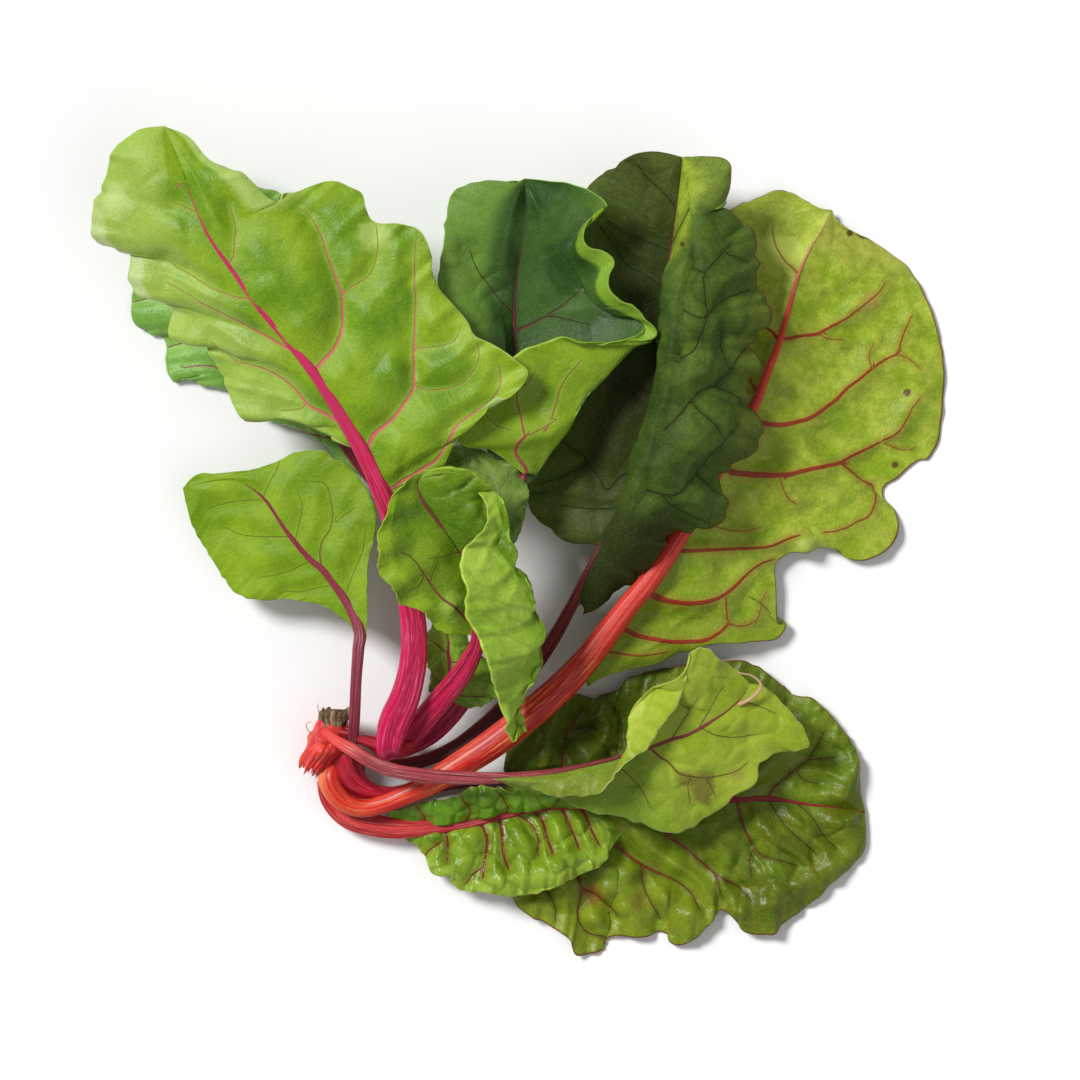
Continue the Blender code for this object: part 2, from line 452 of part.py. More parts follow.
def blade_points(leaf):
    """The blade as one grid, left margin to right margin, slotted along the midrib."""
    rows, _, last_row = midrib_shares(leaf)
    left_count, right_count = leaf["columns"]
    halves = []
    for side, name, columns in ((-1, "left", left_count), (1, "right", right_count)):
        rib, _ = leaf_lines(leaf, leaf.get(name + "_start", 0.0))
        centre, width, right = rib[:, :3], rib[:, 3], rib[:, 5:8]
        half_slot = (width / 2 + RIB_CLEARANCE)[:, None]
        half_slot[last_row:] = 0.0
        margin = line_with_heights(leaf[name], leaf[name + "_heights"], rows)
        fold = None
        if name + "_fold" in leaf:
            fold = line_with_heights(leaf[name + "_fold"], leaf[name + "_fold_heights"], rows)
        grid = blade_half(centre + side * right * half_slot, fold, margin, columns)
        across = np.gradient(grid, axis=1) * side
        lengthwise = np.gradient(grid, axis=0)
        normal = np.cross(across, lengthwise)
        normal /= np.linalg.norm(normal, axis=2, keepdims=True) + 1e-9
        grid = grid + normal * relief(leaf, rows, columns, side)[:, :, None]
        halves.append(grid[:, ::-1] if side < 0 else grid)
    points = np.concatenate(halves, axis=1)
    points[-1] = points[-1].mean(axis=0)
    points[:, :, 2] = np.maximum(points[:, :, 2], BLADE_THICKNESS / 2)
    return points, last_row, left_count


def new_object(name, mesh_builder, material, collection):
    """Turn a bmesh into a smooth-shaded object with its own material."""
    mesh = bpy.data.meshes.new(name)
    mesh_builder.to_mesh(mesh)
    mesh_builder.free()
    for polygon in mesh.polygons:
        polygon.use_smooth = True
    mesh.materials.append(material)
    made = bpy.data.objects.new(name, mesh)
    collection.objects.link(made)
    return made


def make_blade(leaf, material, collection):
    """A thin waved sheet, triangulated before it is given its thickness."""
    points, last_row, left_count = blade_points(leaf)
    row_count, column_count = points.shape[:2]
    sheet = bmesh.new()
    bmesh.ops.create_grid(sheet, x_segments=column_count - 1, y_segments=row_count - 1, size=1.0)
    sheet.verts.ensure_lookup_table()
    sheet.verts.index_update()
    slot = []
    for face in sheet.faces:
        places = [divmod(vertex.index, column_count) for vertex in face.verts]
        in_slot = {column for _, column in places} == {left_count, left_count + 1}
        if in_slot and max(row for row, _ in places) <= last_row:
            slot.append(face)
    for vertex in sheet.verts:
        row, column = divmod(vertex.index, column_count)
        vertex.co = points[row, column] * MILLIMETRE
    bmesh.ops.delete(sheet, geom=slot, context="FACES_ONLY")
    bmesh.ops.remove_doubles(sheet, verts=sheet.verts, dist=0.00001)
    bmesh.ops.triangulate(sheet, faces=sheet.faces, quad_method="SHORT_EDGE")
    bmesh.ops.recalc_face_normals(sheet, faces=sheet.faces)
    blade = new_object(leaf["name"] + "_blade", sheet, material, collection)
    solidify = blade.modifiers.new("thickness", "SOLIDIFY")
    solidify.thickness = BLADE_THICKNESS * MILLIMETRE
    solidify.offset = 0.0
    return blade


def make_tube(name, rings, material, collection):
    """A closed body lofted through rings that all have the same number of points."""
    body = bmesh.new()
    loops = [[body.verts.new(point * MILLIMETRE) for point in ring] for ring in rings]
    for ring, following in zip(loops, loops[1:]):
        for k in range(len(ring)):
            after = (k + 1) % len(ring)
            body.faces.new((ring[k], ring[after], following[after], following[k]))
    body.faces.new(loops[0])
    body.faces.new(loops[-1])
    bmesh.ops.triangulate(body, faces=body.faces)
    bmesh.ops.recalc_face_normals(body, faces=body.faces)
    return new_object(name, body, material, collection)


def make_stalk(leaf, material, collection):
    """Stalk and midrib as one tapering body that ends just short of the blade's slot end."""
    _, _, last_row = midrib_shares(leaf)
    rib, petiole = leaf_lines(leaf)
    samples = np.vstack([petiole[:-1], rib[:last_row]])
    section = np.array(STALK_SECTION)
    if leaf.get("underside_up"):
        section = section * (1.0, -1.0)
    rings = []
    for sample in samples:
        half_width = sample[3] / 2
        ring = (sample[:3] + half_width * (section[:, :1] * sample[5:8]
                                           + section[:, 1:] * sample[8:11]))
        ring[:, 2] = np.maximum(ring[:, 2], 0.0)
        rings.append(ring)
    return make_tube(leaf["name"] + "_stalk", rings, material, collection)


def make_crown(material, collection):
    """The crown: elliptical rings with a slightly torn outline, flat where it rests."""
    dense = along(smooth_curve(CROWN_RINGS), np.linspace(0.0, 1.0, 15))
    right, up = side_directions(dense[:, :3], np.zeros(len(dense)))
    rings = []
    for i, sample in enumerate(dense):
        ring = []
        for k in range(14):
            angle = 2 * math.pi * k / 14
            swell = 1.0 + 0.07 * math.sin(3 * angle + 1.3 * i) + 0.05 * math.sin(5 * angle - 0.9 * i)
            ring.append(sample[:3] + right[i] * sample[3] * swell * math.cos(angle)
                        + up[i] * sample[4] * swell * math.sin(angle))
        ring = np.array(ring)
        ring[:, 2] = np.maximum(ring[:, 2], 0.0)
        rings.append(ring)
    return make_tube("crown", rings, material, collection)


def new_material(name, colour, roughness):
    """A plain Principled material for one kind of plant tissue."""
    material = bpy.data.materials.new(name)
    material.use_nodes = True
    shader = material.node_tree.nodes["Principled BSDF"]
    shader.inputs["Base Color"].default_value = (*colour, 1.0)
    shader.inputs["Roughness"].default_value = roughness
    shader.inputs["Metallic"].default_value = 0.0
    return material


def build():
    """Clear the scene's objects and make the whole bunch."""
    for old in list(bpy.data.objects):
        bpy.data.objects.remove(old, do_unlink=True)
    collection = bpy.data.collections.new(BUNCH_NAME)
    bpy.context.scene.collection.children.link(collection)
    make_crown(new_material("crown_tissue", (0.55, 0.05, 0.05), 0.6), collection)
    for leaf in LEAVES:
        stalk_material = new_material(leaf["name"] + "_stalk", leaf["stalk_colour"], 0.4)
        blade_material = new_material(leaf["name"] + "_blade", leaf["blade_colour"], 0.45)
        make_stalk(leaf, stalk_material, collection)
        make_blade(leaf, blade_material, collection)


build()
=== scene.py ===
"""Looks of the bunch of young rainbow chard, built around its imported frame.

The sections follow the bunch as it is put together: the crown first, then the leaves from
the lowest to the highest, and last the surface it lies on, the lamps and the camera.
Lengths are in millimetres up to the point where a mesh is made, and colours are on the
0 to 255 scale up to the point where a shader takes them.
"""
import math

import bpy
import numpy as np
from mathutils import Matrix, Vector


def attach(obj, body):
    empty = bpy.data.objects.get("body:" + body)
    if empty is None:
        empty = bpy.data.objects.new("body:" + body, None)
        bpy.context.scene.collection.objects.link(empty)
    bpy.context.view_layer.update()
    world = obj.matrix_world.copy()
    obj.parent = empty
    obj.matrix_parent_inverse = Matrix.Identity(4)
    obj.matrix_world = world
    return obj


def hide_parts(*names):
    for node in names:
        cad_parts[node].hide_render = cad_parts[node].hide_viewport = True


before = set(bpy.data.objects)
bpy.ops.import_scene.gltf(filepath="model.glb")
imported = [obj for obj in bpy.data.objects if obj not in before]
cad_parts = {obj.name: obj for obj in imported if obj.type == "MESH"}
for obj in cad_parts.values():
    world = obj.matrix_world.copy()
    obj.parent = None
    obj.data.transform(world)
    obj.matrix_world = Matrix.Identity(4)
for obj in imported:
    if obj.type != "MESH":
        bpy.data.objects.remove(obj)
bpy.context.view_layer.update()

# ----------------------------------------------------------------------------------------
# Crown: the torn heel that holds all the stalks. Wet red and orange fibre where it was
# pulled from the root, a dry brown stub of old root above, and a few hair-thin rootlets.

curve_steps = 8         # points from one given point of a curve to the next
merge_gap = 0.000005    # metres
bump_depth = 0.0003     # metres
tiny = 1e-6             # keeps a division clear of zero
stalk_clearance = 0.1   # height that stalks keep above the surface


def smooth_curve(points, steps=curve_steps):
    """A dense curve running smoothly through the given points."""
    known = np.array(points, dtype=float)
    if known.ndim == 1:
        known = known[:, None]
    padded = np.vstack([2 * known[0] - known[1], known, 2 * known[-1] - known[-2]])
    dense = []
    for i in range(1, len(padded) - 2):
        before, start, end, after = padded[i - 1:i + 3]
        for k in range(steps):
            u = k / steps
            dense.append(0.5 * (2 * start + (end - before) * u
                                + (2 * before - 5 * start + 4 * end - after) * u ** 2
                                + (3 * start - before - 3 * end + after) * u ** 3))
    dense.append(padded[-2])
    return np.array(dense)


def run_along(points):
    """Length from the first point to each of the others."""
    steps = np.linalg.norm(np.diff(points, axis=0), axis=1)
    return np.concatenate([[0.0], np.cumsum(steps)])


def along(curve, shares):
    """The curve's points at the given shares of its length."""
    length = run_along(curve[:, :3])
    at = np.asarray(shares) * length[-1]
    return np.column_stack([np.interp(at, length, column) for column in curve.T])


def side_directions(path, rolls):
    """Unit vectors to the right of the path and up from it, rolled about it."""
    travel = np.gradient(path, axis=0)
    travel /= np.linalg.norm(travel, axis=1)[:, None]
    right = np.column_stack([travel[:, 1], -travel[:, 0], np.zeros(len(path))])
    right /= np.linalg.norm(right, axis=1)[:, None]
    up = np.cross(right, travel)
    angle = np.radians(rolls)[:, None]
    return np.cos(angle) * right - np.sin(angle) * up, np.cos(angle) * up + np.sin(angle) * right


def circle(around):
    """Even angles round a full turn."""
    return np.linspace(0.0, 2 * math.pi, around, endpoint=False)


def moved_grid(name, points, maps, closed=False):
    """A grid primitive moved to rows of points, merged where they meet, and closed if asked.

    Each map holds two numbers for every point, kept as UVs so that they survive merging.
    """
    bpy.ops.object.select_all(action="DESELECT")
    rows, columns = points.shape[:2]
    bpy.ops.mesh.primitive_grid_add(x_subdivisions=columns - 1, y_subdivisions=rows - 1, size=1.0)
    made = bpy.context.object
    mesh = made.data
    made.name = mesh.name = name
    mesh.vertices.foreach_set("co", (points * 0.001).ravel())
    corners = np.empty(len(mesh.loops), dtype=np.int32)
    mesh.loops.foreach_get("vertex_index", corners)
    while mesh.uv_layers:
        mesh.uv_layers.remove(mesh.uv_layers[0])
    for label, pairs in maps.items():
        layer = mesh.uv_layers.new(name=label)
        layer.data.foreach_set("uv", pairs.reshape(-1, 2)[corners].astype(np.float32).ravel())
    bpy.ops.object.mode_set(mode="EDIT")
    bpy.ops.mesh.select_all(action="SELECT")
    bpy.ops.mesh.remove_doubles(threshold=merge_gap)
    if closed:
        bpy.ops.mesh.fill_holes(sides=0)
        bpy.ops.mesh.select_all(action="SELECT")
        bpy.ops.mesh.normals_make_consistent(inside=False)
    bpy.ops.object.mode_set(mode="OBJECT")
    bpy.ops.object.shade_smooth()
    return made


def closed_tube(name, rings, zero_at=0.0):
    """Rings of points joined into a tube: seam merged, both ends filled, faces outwards."""
    count = rings.shape[1]
    around = np.broadcast_to(np.arange(count + 1) / count, (len(rings), count + 1))
    length = np.broadcast_to(run_along(rings.mean(axis=1))[:, None] - zero_at, around.shape)
    return moved_grid(name, np.concatenate([rings, rings[:, :1]], axis=1),
                      {"grain": np.stack([around, length], axis=2)}, closed=True)


def crown_rings(points, count, around, swell, seed, torn=0.0):
    """Rings round a short path with fibrous ridges, an uneven outline and a torn far end."""
    dense = along(smooth_curve(points), np.linspace(0.0, 1.0, count))
    right, up = side_directions(dense[:, :3], np.zeros(count))
    angle = circle(around)
    generator = np.random.default_rng(seed)
    fibres = generator.random(around)
    fibres = (fibres + np.roll(fibres, 1)) / 2
    travel = np.cross(up, right)
    rings = []
    for i, sample in enumerate(dense):
        # three broad lobes and five narrow ones wind round the path, with the fibres on them
        outline = (1.0 + 0.07 * np.sin(3 * angle + 0.32 * i) + 0.05 * np.sin(5 * angle - 0.22 * i)
                   + swell * (fibres - 0.5) + 0.25 * swell * generator.random(around))
        ring = (sample[:3] + right[i] * (sample[3] * outline * np.cos(angle))[:, None]
                + up[i] * (sample[4] * outline * np.sin(angle))[:, None])
        ring += travel[i] * (torn * (2.0 * fibres - 1.0) * (i / (count - 1)) ** 3)[:, None]
        ring[:, 2] = np.maximum(ring[:, 2], stalk_clearance)
        rings.append(ring)
    return np.array(rings)


def thread_rings(path, start_radius, end_radius):
    """Rings of a thin tapering thread."""
    count, around = 26, 8
    line = along(smooth_curve(path), np.linspace(0.0, 1.0, count))
    right, up = side_directions(line, np.zeros(count))
    angle = circle(around)
    radius = np.linspace(start_radius, end_radius, count)[:, None, None]
    return line[:, None] + radius * (np.cos(angle)[None, :, None] * right[:, None]
                                     + np.sin(angle)[None, :, None] * up[:, None])


def add_node(tree, kind, inputs=(), **settings):
    """A shader node with its settings, and its inputs set to values or joined to sockets."""
    node = tree.nodes.new(kind)
    for key, value in settings.items():
        setattr(node, key, value)
    for key, value in dict(inputs).items():
        if isinstance(value, bpy.types.NodeSocket):
            tree.links.new(value, node.inputs[key])
        else:
            node.inputs[key].default_value = value
    return node


def maths(tree, operation, *values):
    """The result of a Math node on up to three numbers or sockets."""
    return add_node(tree, "ShaderNodeMath", enumerate(values), operation=operation).outputs[0]


def linear(colour):
    """A colour as a shader socket wants it, in linear light. A socket stays as it is."""
    if isinstance(colour, bpy.types.NodeSocket):
        return colour
    parts = [part / 255 for part in colour]
    return (*[p / 12.92 if p <= 0.04045 else ((p + 0.055) / 1.055) ** 2.4 for p in parts], 1.0)


def blend(tree, share, first, second):
    """A colour between the first, at share 0, and the second, at share 1."""
    return add_node(tree, "ShaderNodeMix", {0: share, 6: linear(first), 7: linear(second)},
                    data_type="RGBA").outputs[2]


def part_blend(tree, mask, share, first, second):
    """A colour that turns into the second one by the share, where the mask is 1."""
    return blend(tree, maths(tree, "MULTIPLY", mask, share), first, second)


def ramp(tree, value, low, high, start=0.0, end=1.0):
    """A smooth step of the value from start, at low, to end, at high."""
    return add_node(tree, "ShaderNodeMapRange", {0: value, 1: low, 2: high, 3: start, 4: end},
                    interpolation_type="SMOOTHSTEP").outputs[0]


def kept_pair(tree, uv_map):
    """The two numbers that a piece keeps in the named UV map."""
    pair = add_node(tree, "ShaderNodeUVMap", uv_map=uv_map).outputs[0]
    return add_node(tree, "ShaderNodeSeparateXYZ", {0: pair}).outputs[:2]


def noise(tree, vector, scale, detail, **more):
    """A noise texture."""
    return add_node(tree, "ShaderNodeTexNoise",
                    {"Vector": vector, "Scale": scale, "Detail": detail, **more}).outputs


def new_group(name, inputs, masks, vectors=()):
    """A shader group with inputs that have starting values, and with masks and vectors out."""
    group = bpy.data.node_groups.new(name, "ShaderNodeTree")
    for label, start in inputs.items():
        group.interface.new_socket(label, in_out="INPUT",
                                   socket_type="NodeSocketFloat").default_value = start
    for labels, kind in ((masks, "NodeSocketFloat"), (vectors, "NodeSocketVector")):
        for label in labels:
            group.interface.new_socket(label, in_out="OUTPUT", socket_type=kind)
    return group, add_node(group, "NodeGroupInput").outputs


def new_skin(name, specular):
    """A new material with its tree, its main shader and the given reflectance."""
    material = bpy.data.materials.new(name)
    material.use_nodes = True
    shader = material.node_tree.nodes["Principled BSDF"]
    shader.inputs["Specular IOR Level"].default_value = specular
    return material, material.node_tree, shader


def cover(tree, shader, base, roughness, height, strength):
    """Join colour, roughness and bump height to the main shader."""
    bump = add_node(tree, "ShaderNodeBump",
                    {"Height": height, "Distance": bump_depth, "Strength": strength})
    for label, value in {"Base Color": base, "Roughness": roughness,
                         "Normal": bump.outputs[0]}.items():
        tree.links.new(value, shader.inputs[label])


# Streaks that run the length of a stalk, as fibres and sap channels do
streaks, given = new_group("stalk_streaks", {"Length scale": 0.008, "Fineness": 7.0},
                           ["Broad", "Fine", "Ridges"])
around, length = kept_pair(streaks, "grain")
turn = maths(streaks, "MULTIPLY", around, 2 * math.pi)
run = maths(streaks, "MULTIPLY", length, given["Length scale"])
wrapped = add_node(streaks, "ShaderNodeCombineXYZ",
                   {0: maths(streaks, "COSINE", turn), 1: maths(streaks, "SINE", turn),
                    2: run}).outputs[0]
broad = noise(streaks, wrapped, 1.6, 3.0, Roughness=0.6)[0]
fine = noise(streaks, wrapped, given["Fineness"], 5.0, Roughness=0.75)[0]
waver = maths(streaks, "MULTIPLY_ADD", fine, 5.0, maths(streaks, "MULTIPLY", turn, 12.0))
ridges = maths(streaks, "MULTIPLY_ADD", maths(streaks, "SINE", waver), 0.5, 0.5)
add_node(streaks, "NodeGroupOutput", {"Broad": broad, "Fine": fine, "Ridges": ridges})


def stalk_material(name, main, pale, deep, roughness=0.34, streak=0.5, rib=None, rib_from=0.0,
                   heel=None, heel_to=0.0, outer_highlight=None, inner=None, bend_to=0.0, tip=None,
                   tip_from=0.0):
    """Crisp, wet stalk: main, pale streak, deeper, rib and tip colours; painted highlight and
    shade at a bend.
    """
    material, tree, shader = new_skin(name, 0.4)
    lines = add_node(tree, "ShaderNodeGroup", node_tree=streaks).outputs
    around, length = kept_pair(tree, "grain")
    base = blend(tree, ramp(tree, lines["Broad"], 0.35, 0.6), deep, main)
    base = part_blend(tree, ramp(tree, lines["Fine"], 0.5, 0.68), streak, base, pale)
    # Near a bend: a painted highlight on the outer side of the stalk and painted shade on the
    # inner side.
    if outer_highlight:
        sideways = maths(tree, "COSINE", maths(tree, "MULTIPLY", around, 2 * math.pi))
        near = ramp(tree, length, bend_to - 30.0, bend_to, 1.0, 0.0)
        base = part_blend(tree, ramp(tree, sideways, 0.2, 0.95, 0.0, 0.85), near, base, outer_highlight)
        base = part_blend(tree, ramp(tree, sideways, -0.9, -0.2, 0.8, 0.0), near, base, inner)
    if heel:
        base = blend(tree, ramp(tree, length, heel_to - 25.0, heel_to, 0.9, 0.0), base, heel)
    if rib:
        base = blend(tree, ramp(tree, length, rib_from, rib_from + 30.0), base, rib)
    if tip:
        base = blend(tree, ramp(tree, length, tip_from, tip_from + 35.0), base, tip)
    cover(tree, shader, base,
          ramp(tree, lines["Fine"], 0.3, 0.7, roughness - 0.08, roughness + 0.12),
          maths(tree, "MULTIPLY_ADD", lines["Ridges"], 0.5, lines["Fine"]), 0.7)
    return material


def dress(piece, node):
    """Let a finished piece take the place of its plain solid in the frame."""
    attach(piece, "root")
    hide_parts(node)


bend_flesh = ((178, 12, 42), (225, 70, 70), (110, 6, 22), 0.34, 0.5)
crown_parts = {
    "crown_heel": dict(
        path=[(-79, -75, 15, 5.9, 7), (-79.9, -78.4, 14, 6.7, 10), (-81.5, -82.6, 13, 7.6, 12),
              (-83.6, -86.8, 12.5, 7.3, 11.5), (-86.2, -90.6, 12, 6.3, 9.5),
              (-88.3, -93.5, 11.5, 5, 6.5), (-89.5, -95.6, 11, 3.8, 3.5)],
        rings=(52, 72, 0.14, 3, 4.0),
        flesh=("torn_heel", (226, 48, 42), (250, 128, 78), (180, 14, 40), 0.38, 0.8)),
    "dry_stub": dict(
        path=[(-79.9, -80.5, 14, 5.9, 7), (-79.4, -76.7, 15, 5.9, 6.5),
              (-79.4, -73.8, 15.5, 6.1, 6), (-79, -71.7, 16, 6.3, 5), (-79, -70.4, 16, 5.7, 3.5)],
        rings=(30, 60, 0.34, 8, 2.2),
        flesh=("dry_root", (125, 95, 66), (205, 185, 150), (60, 40, 28), 0.8, 0.8)),
    # the broad crimson base that the orange stalk folds out of
    "crown_bend": dict(
        path=[(-76.9, -84.7, 12, 6.3, 8), (-75.7, -89.7, 11, 7.6, 8.5),
              (-73.6, -95.6, 10.5, 6.7, 8), (-70.2, -101.1, 10.5, 5.5, 7.5),
              (-64.3, -104.8, 10.5, 4.2, 6.5), (-55.9, -106.1, 11, 2.9, 5),
              (-46.7, -102.7, 11, 1.5, 3)],
        rings=(44, 48, 0.08, 20), flesh=("crown_bend_flesh", *bend_flesh)),
    # the arm to the pink stalks
    "crown_arm": dict(
        path=[(-76.9, -79.6, 19, 2.5, 5), (-71.9, -80.9, 19, 2.5, 5.5),
              (-66.8, -82.6, 19, 2.7, 6), (-61.8, -84.3, 18.5, 3.4, 7),
              (-56.8, -85.9, 18, 4.6, 8), (-51.7, -86.4, 17, 4.2, 7.5),
              (-45.8, -85.1, 16, 2.5, 5)],
        rings=(44, 48, 0.08, 21), flesh=("crown_arm_flesh", *bend_flesh))}
for part_name, part in crown_parts.items():
    tube = closed_tube(part_name, crown_rings(part["path"], *part["rings"]))
    tube.data.materials.append(stalk_material(*part["flesh"]))
    dress(tube, "crown")

rootlet_paths = [[(-83.6, -75, 20), (-84.9, -72.1, 22), (-85.7, -69.6, 22), (-85.7, -67.5, 21)],
                 [(-84.5, -80.1, 17), (-87, -80.9, 16), (-89.5, -79.6, 15), (-90.8, -77.5, 14),
                  (-90.4, -75.9, 14), (-88.7, -75.4, 15)],
                 [(-82.4, -73.3, 22), (-82.8, -70.8, 23), (-84.1, -69.1, 22)],
                 [(-75.2, -73.3, 20), (-74, -71.2, 21), (-73.1, -70, 20)]]
rootlets = [closed_tube(f"rootlet_{number}", thread_rings(path, 0.30, 0.10))
            for number, path in enumerate(rootlet_paths)]
bpy.ops.object.select_all(action="DESELECT")
for rootlet in rootlets:
    rootlet.select_set(True)
bpy.context.view_layer.objects.active = rootlets[0]
bpy.ops.object.join()
rootlets = bpy.context.object
rootlets.name = "rootlets"
rootlets.data.materials.append(stalk_material("rootlet_skin", (150, 135, 100), (205, 195, 160),
                                              (100, 85, 60), 0.7, 0.6))
dress(rootlets, "crown")

# ----------------------------------------------------------------------------------------
# Crinkled leaf: the lowest front leaf, a narrow, strongly blistered blade on a red stalk that
# leaves the underside of the crown. Each leaf is a green sheet either side of its midrib.

blade_thickness = 0.0005    # metres
blade_clearance = 0.35      # height that blades keep above the surface
ring_gap = 1.8              # between the rings of a stalk
whole = (0.0, 1.0)          # the full width or length of a half blade


def edge_line(leaf, edge, shares):
    """Points along a margin or fold, which ends at the tip of the midrib.

    Its heights are spread evenly along its length.
    """
    plan = along(smooth_curve(leaf[edge] + [leaf["stalk"][-1][:2]]), shares)
    levels = smooth_curve(leaf[edge + "_heights"])[:, 0]
    return np.column_stack([plan, np.interp(shares, np.linspace(0.0, 1.0, len(levels)), levels)])


def leaf_axis(stalk, rolls):
    """Stalk and midrib as one dense line: x, y, z, width, roll, right and up directions."""
    dense = smooth_curve([(*point, roll) for point, roll in zip(stalk, rolls)])
    return np.hstack([dense, *side_directions(dense[:, :3], dense[:, 4])])


def crest_share(inner, fold, margin):
    """Where on the way from the midrib to the margin the fold lies."""
    near, far = [np.linalg.norm(fold - edge, axis=-1)[:, None] + tiny for edge in (inner, margin)]
    return np.clip(near / (near + far), 0.25, 0.75)


def blade_half(inner, fold, margin, t):
    """Grid of points from the midrib to the margin, over the fold if there is one."""
    t = t[None, :, None]
    across = inner[:, None], margin[:, None]
    if fold is None:
        return across[0] + (across[1] - across[0]) * t
    crest = crest_share(inner, fold, margin)[:, None]
    return (across[0] * (t - crest) * (t - 1) / crest
            + fold[:, None] * t * (t - 1) / (crest * (crest - 1))
            + across[1] * t * (t - crest) / (1 - crest))


def held_share(values):
    """The values, held between 0 and 1."""
    return np.clip(values, 0.0, 1.0)


def nearest_vein(plan, veins):
    """Distance in the plan to the nearest side vein, the same with a sign, and its width there."""
    no_vein, least_width = 30.0, 0.3
    nearest = np.full(plan.shape[:2], no_vein)
    signed, width = nearest.copy(), np.full(plan.shape[:2], least_width)
    for start_width, end_width, *points in veins:
        line = smooth_curve(points, 4)
        widths = start_width + (end_width - start_width) * np.linspace(0.0, 1.0, len(line)) ** 0.8
        for i, step in enumerate(np.diff(line, axis=0)):
            away = plan - line[i]
            share = held_share(away @ step / (step @ step))
            far = np.linalg.norm(away - share[..., None] * step, axis=2)
            turn = np.where(step[0] * away[..., 1] < step[1] * away[..., 0], -1.0, 1.0)
            closer = far < nearest
            nearest = np.where(closer, far, nearest)
            signed = np.where(closer, far * turn, signed)
            width = np.where(closer, widths[i] + (widths[i + 1] - widths[i]) * share, width)
    return nearest, signed, width


def swellings(u, v, size, seed):
    """Rounded swellings about one size apart: 0 in the creases between them, 1 on top."""
    cells, crease_slope = 64, 1.5
    jitter = np.random.default_rng(seed).random((cells, cells, 2))
    u, v = u / size, v / size
    row, column = np.floor(u).astype(int), np.floor(v).astype(int)
    first = np.full(u.shape, 9.0)
    second = first.copy()
    for i in (-1, 0, 1):
        for j in (-1, 0, 1):
            centre = jitter[(row + i) % cells, (column + j) % cells]
            far = np.hypot(row + i + centre[..., 0] - u, column + j + centre[..., 1] - v)
            second = np.minimum(np.maximum(far, first), second)
            first = np.minimum(far, first)
    return 1.0 - (1.0 - held_share((second - first) * crease_slope)) ** 2


def lengths(grid, axis):
    """Mean length of a grid's lines in one direction."""
    return np.linalg.norm(np.diff(grid, axis=axis), axis=2).sum(axis=axis).mean()


def blade_relief(leaf, grid, s, t, near, side):
    """Height of the quilting between veins, its swellings and the frilled margin; the creases."""
    foot_fade, tip_fade, rib_fade = 6.0, 9.0, 5.0
    full_room = 20.0        # rows narrower than this swell less
    margin_loss = 0.55      # share of the swelling that is lost at the margin
    bend = 1.5              # how far the rows of swellings wander
    small_share = 0.45      # size of the small swellings on the coarse ones
    s, t = s[:, None], t[None, :]
    ends = held_share(np.minimum(s * foot_fade, (1.0 - s) * tip_fade))
    spread, reach = lengths(grid, 1), lengths(grid, 0)
    room = held_share(np.linalg.norm(grid[:, -1] - grid[:, 0], axis=1) / full_room)[:, None]
    body = held_share(t * rib_fade) * (1.0 - margin_loss * t ** 4) * room
    share = leaf.get(("left", "right")[side > 0] + "_relief", 1.0)
    groove = leaf.get("vein_groove", 5.0)
    quilt = leaf["quilt"] * (1.0 - np.exp(-(near / groove) ** 2)) * body
    size = leaf.get("swelling_size", 7.0)
    turn, stretch = leaf.get("grain", (0.0, 1.0))
    along_x, along_y = math.cos(math.radians(turn)), math.sin(math.radians(turn))
    x = grid[..., 0] + bend * np.sin(grid[..., 1] / 7.0)
    y = grid[..., 1] + bend * np.sin(grid[..., 0] / 6.0)
    u = (x * along_x + y * along_y) / stretch
    v = y * along_x - x * along_y
    coarse = swellings(u, v, size, 11 + side)
    small = swellings(u, v, size * small_share, 31 + side)
    patchy = 0.7 + 0.45 * np.sin(x / 15.0 + side) * np.sin(y / 11.0 + 1.7)
    puckers = leaf["swelling"] * patchy * (coarse + leaf.get("fine", 0.2) * small) * body
    roll = leaf.get("billow", 1.0) * np.sin(s * reach / 13.0 + side
                                            + 2.0 * np.sin(t * spread / 17.0))
    billow = roll * np.sin(t * spread / 12.0 + 0.7 * side) * held_share(t * 2.5)
    waves = 2 * math.pi * leaf.get("waves", 5)
    wave = leaf.get("ruffle", 1.5) * np.sin(waves * s + side)
    shift = 1.3 * np.sin(2.3 * waves * s + side)
    frill = share * leaf.get("frill", 0.5) * np.sin(waves * 3.1 * s + 2 * side + shift)
    turned = -1.0 if leaf.get("underside_up") else 1.0
    height = turned * share * (quilt + puckers) + billow + wave * t ** 2 + frill * t ** 5
    for x, y, radius, rise in leaf.get("bumps", []):
        away = np.hypot(grid[..., 0] - x, grid[..., 1] - y)
        height = height + rise * np.exp(-away ** 2 / radius ** 2)
    return height * ends, coarse


def unit(vectors):
    """The vectors of a grid brought to length one."""
    return vectors / (np.linalg.norm(vectors, axis=2, keepdims=True) + 1e-9)


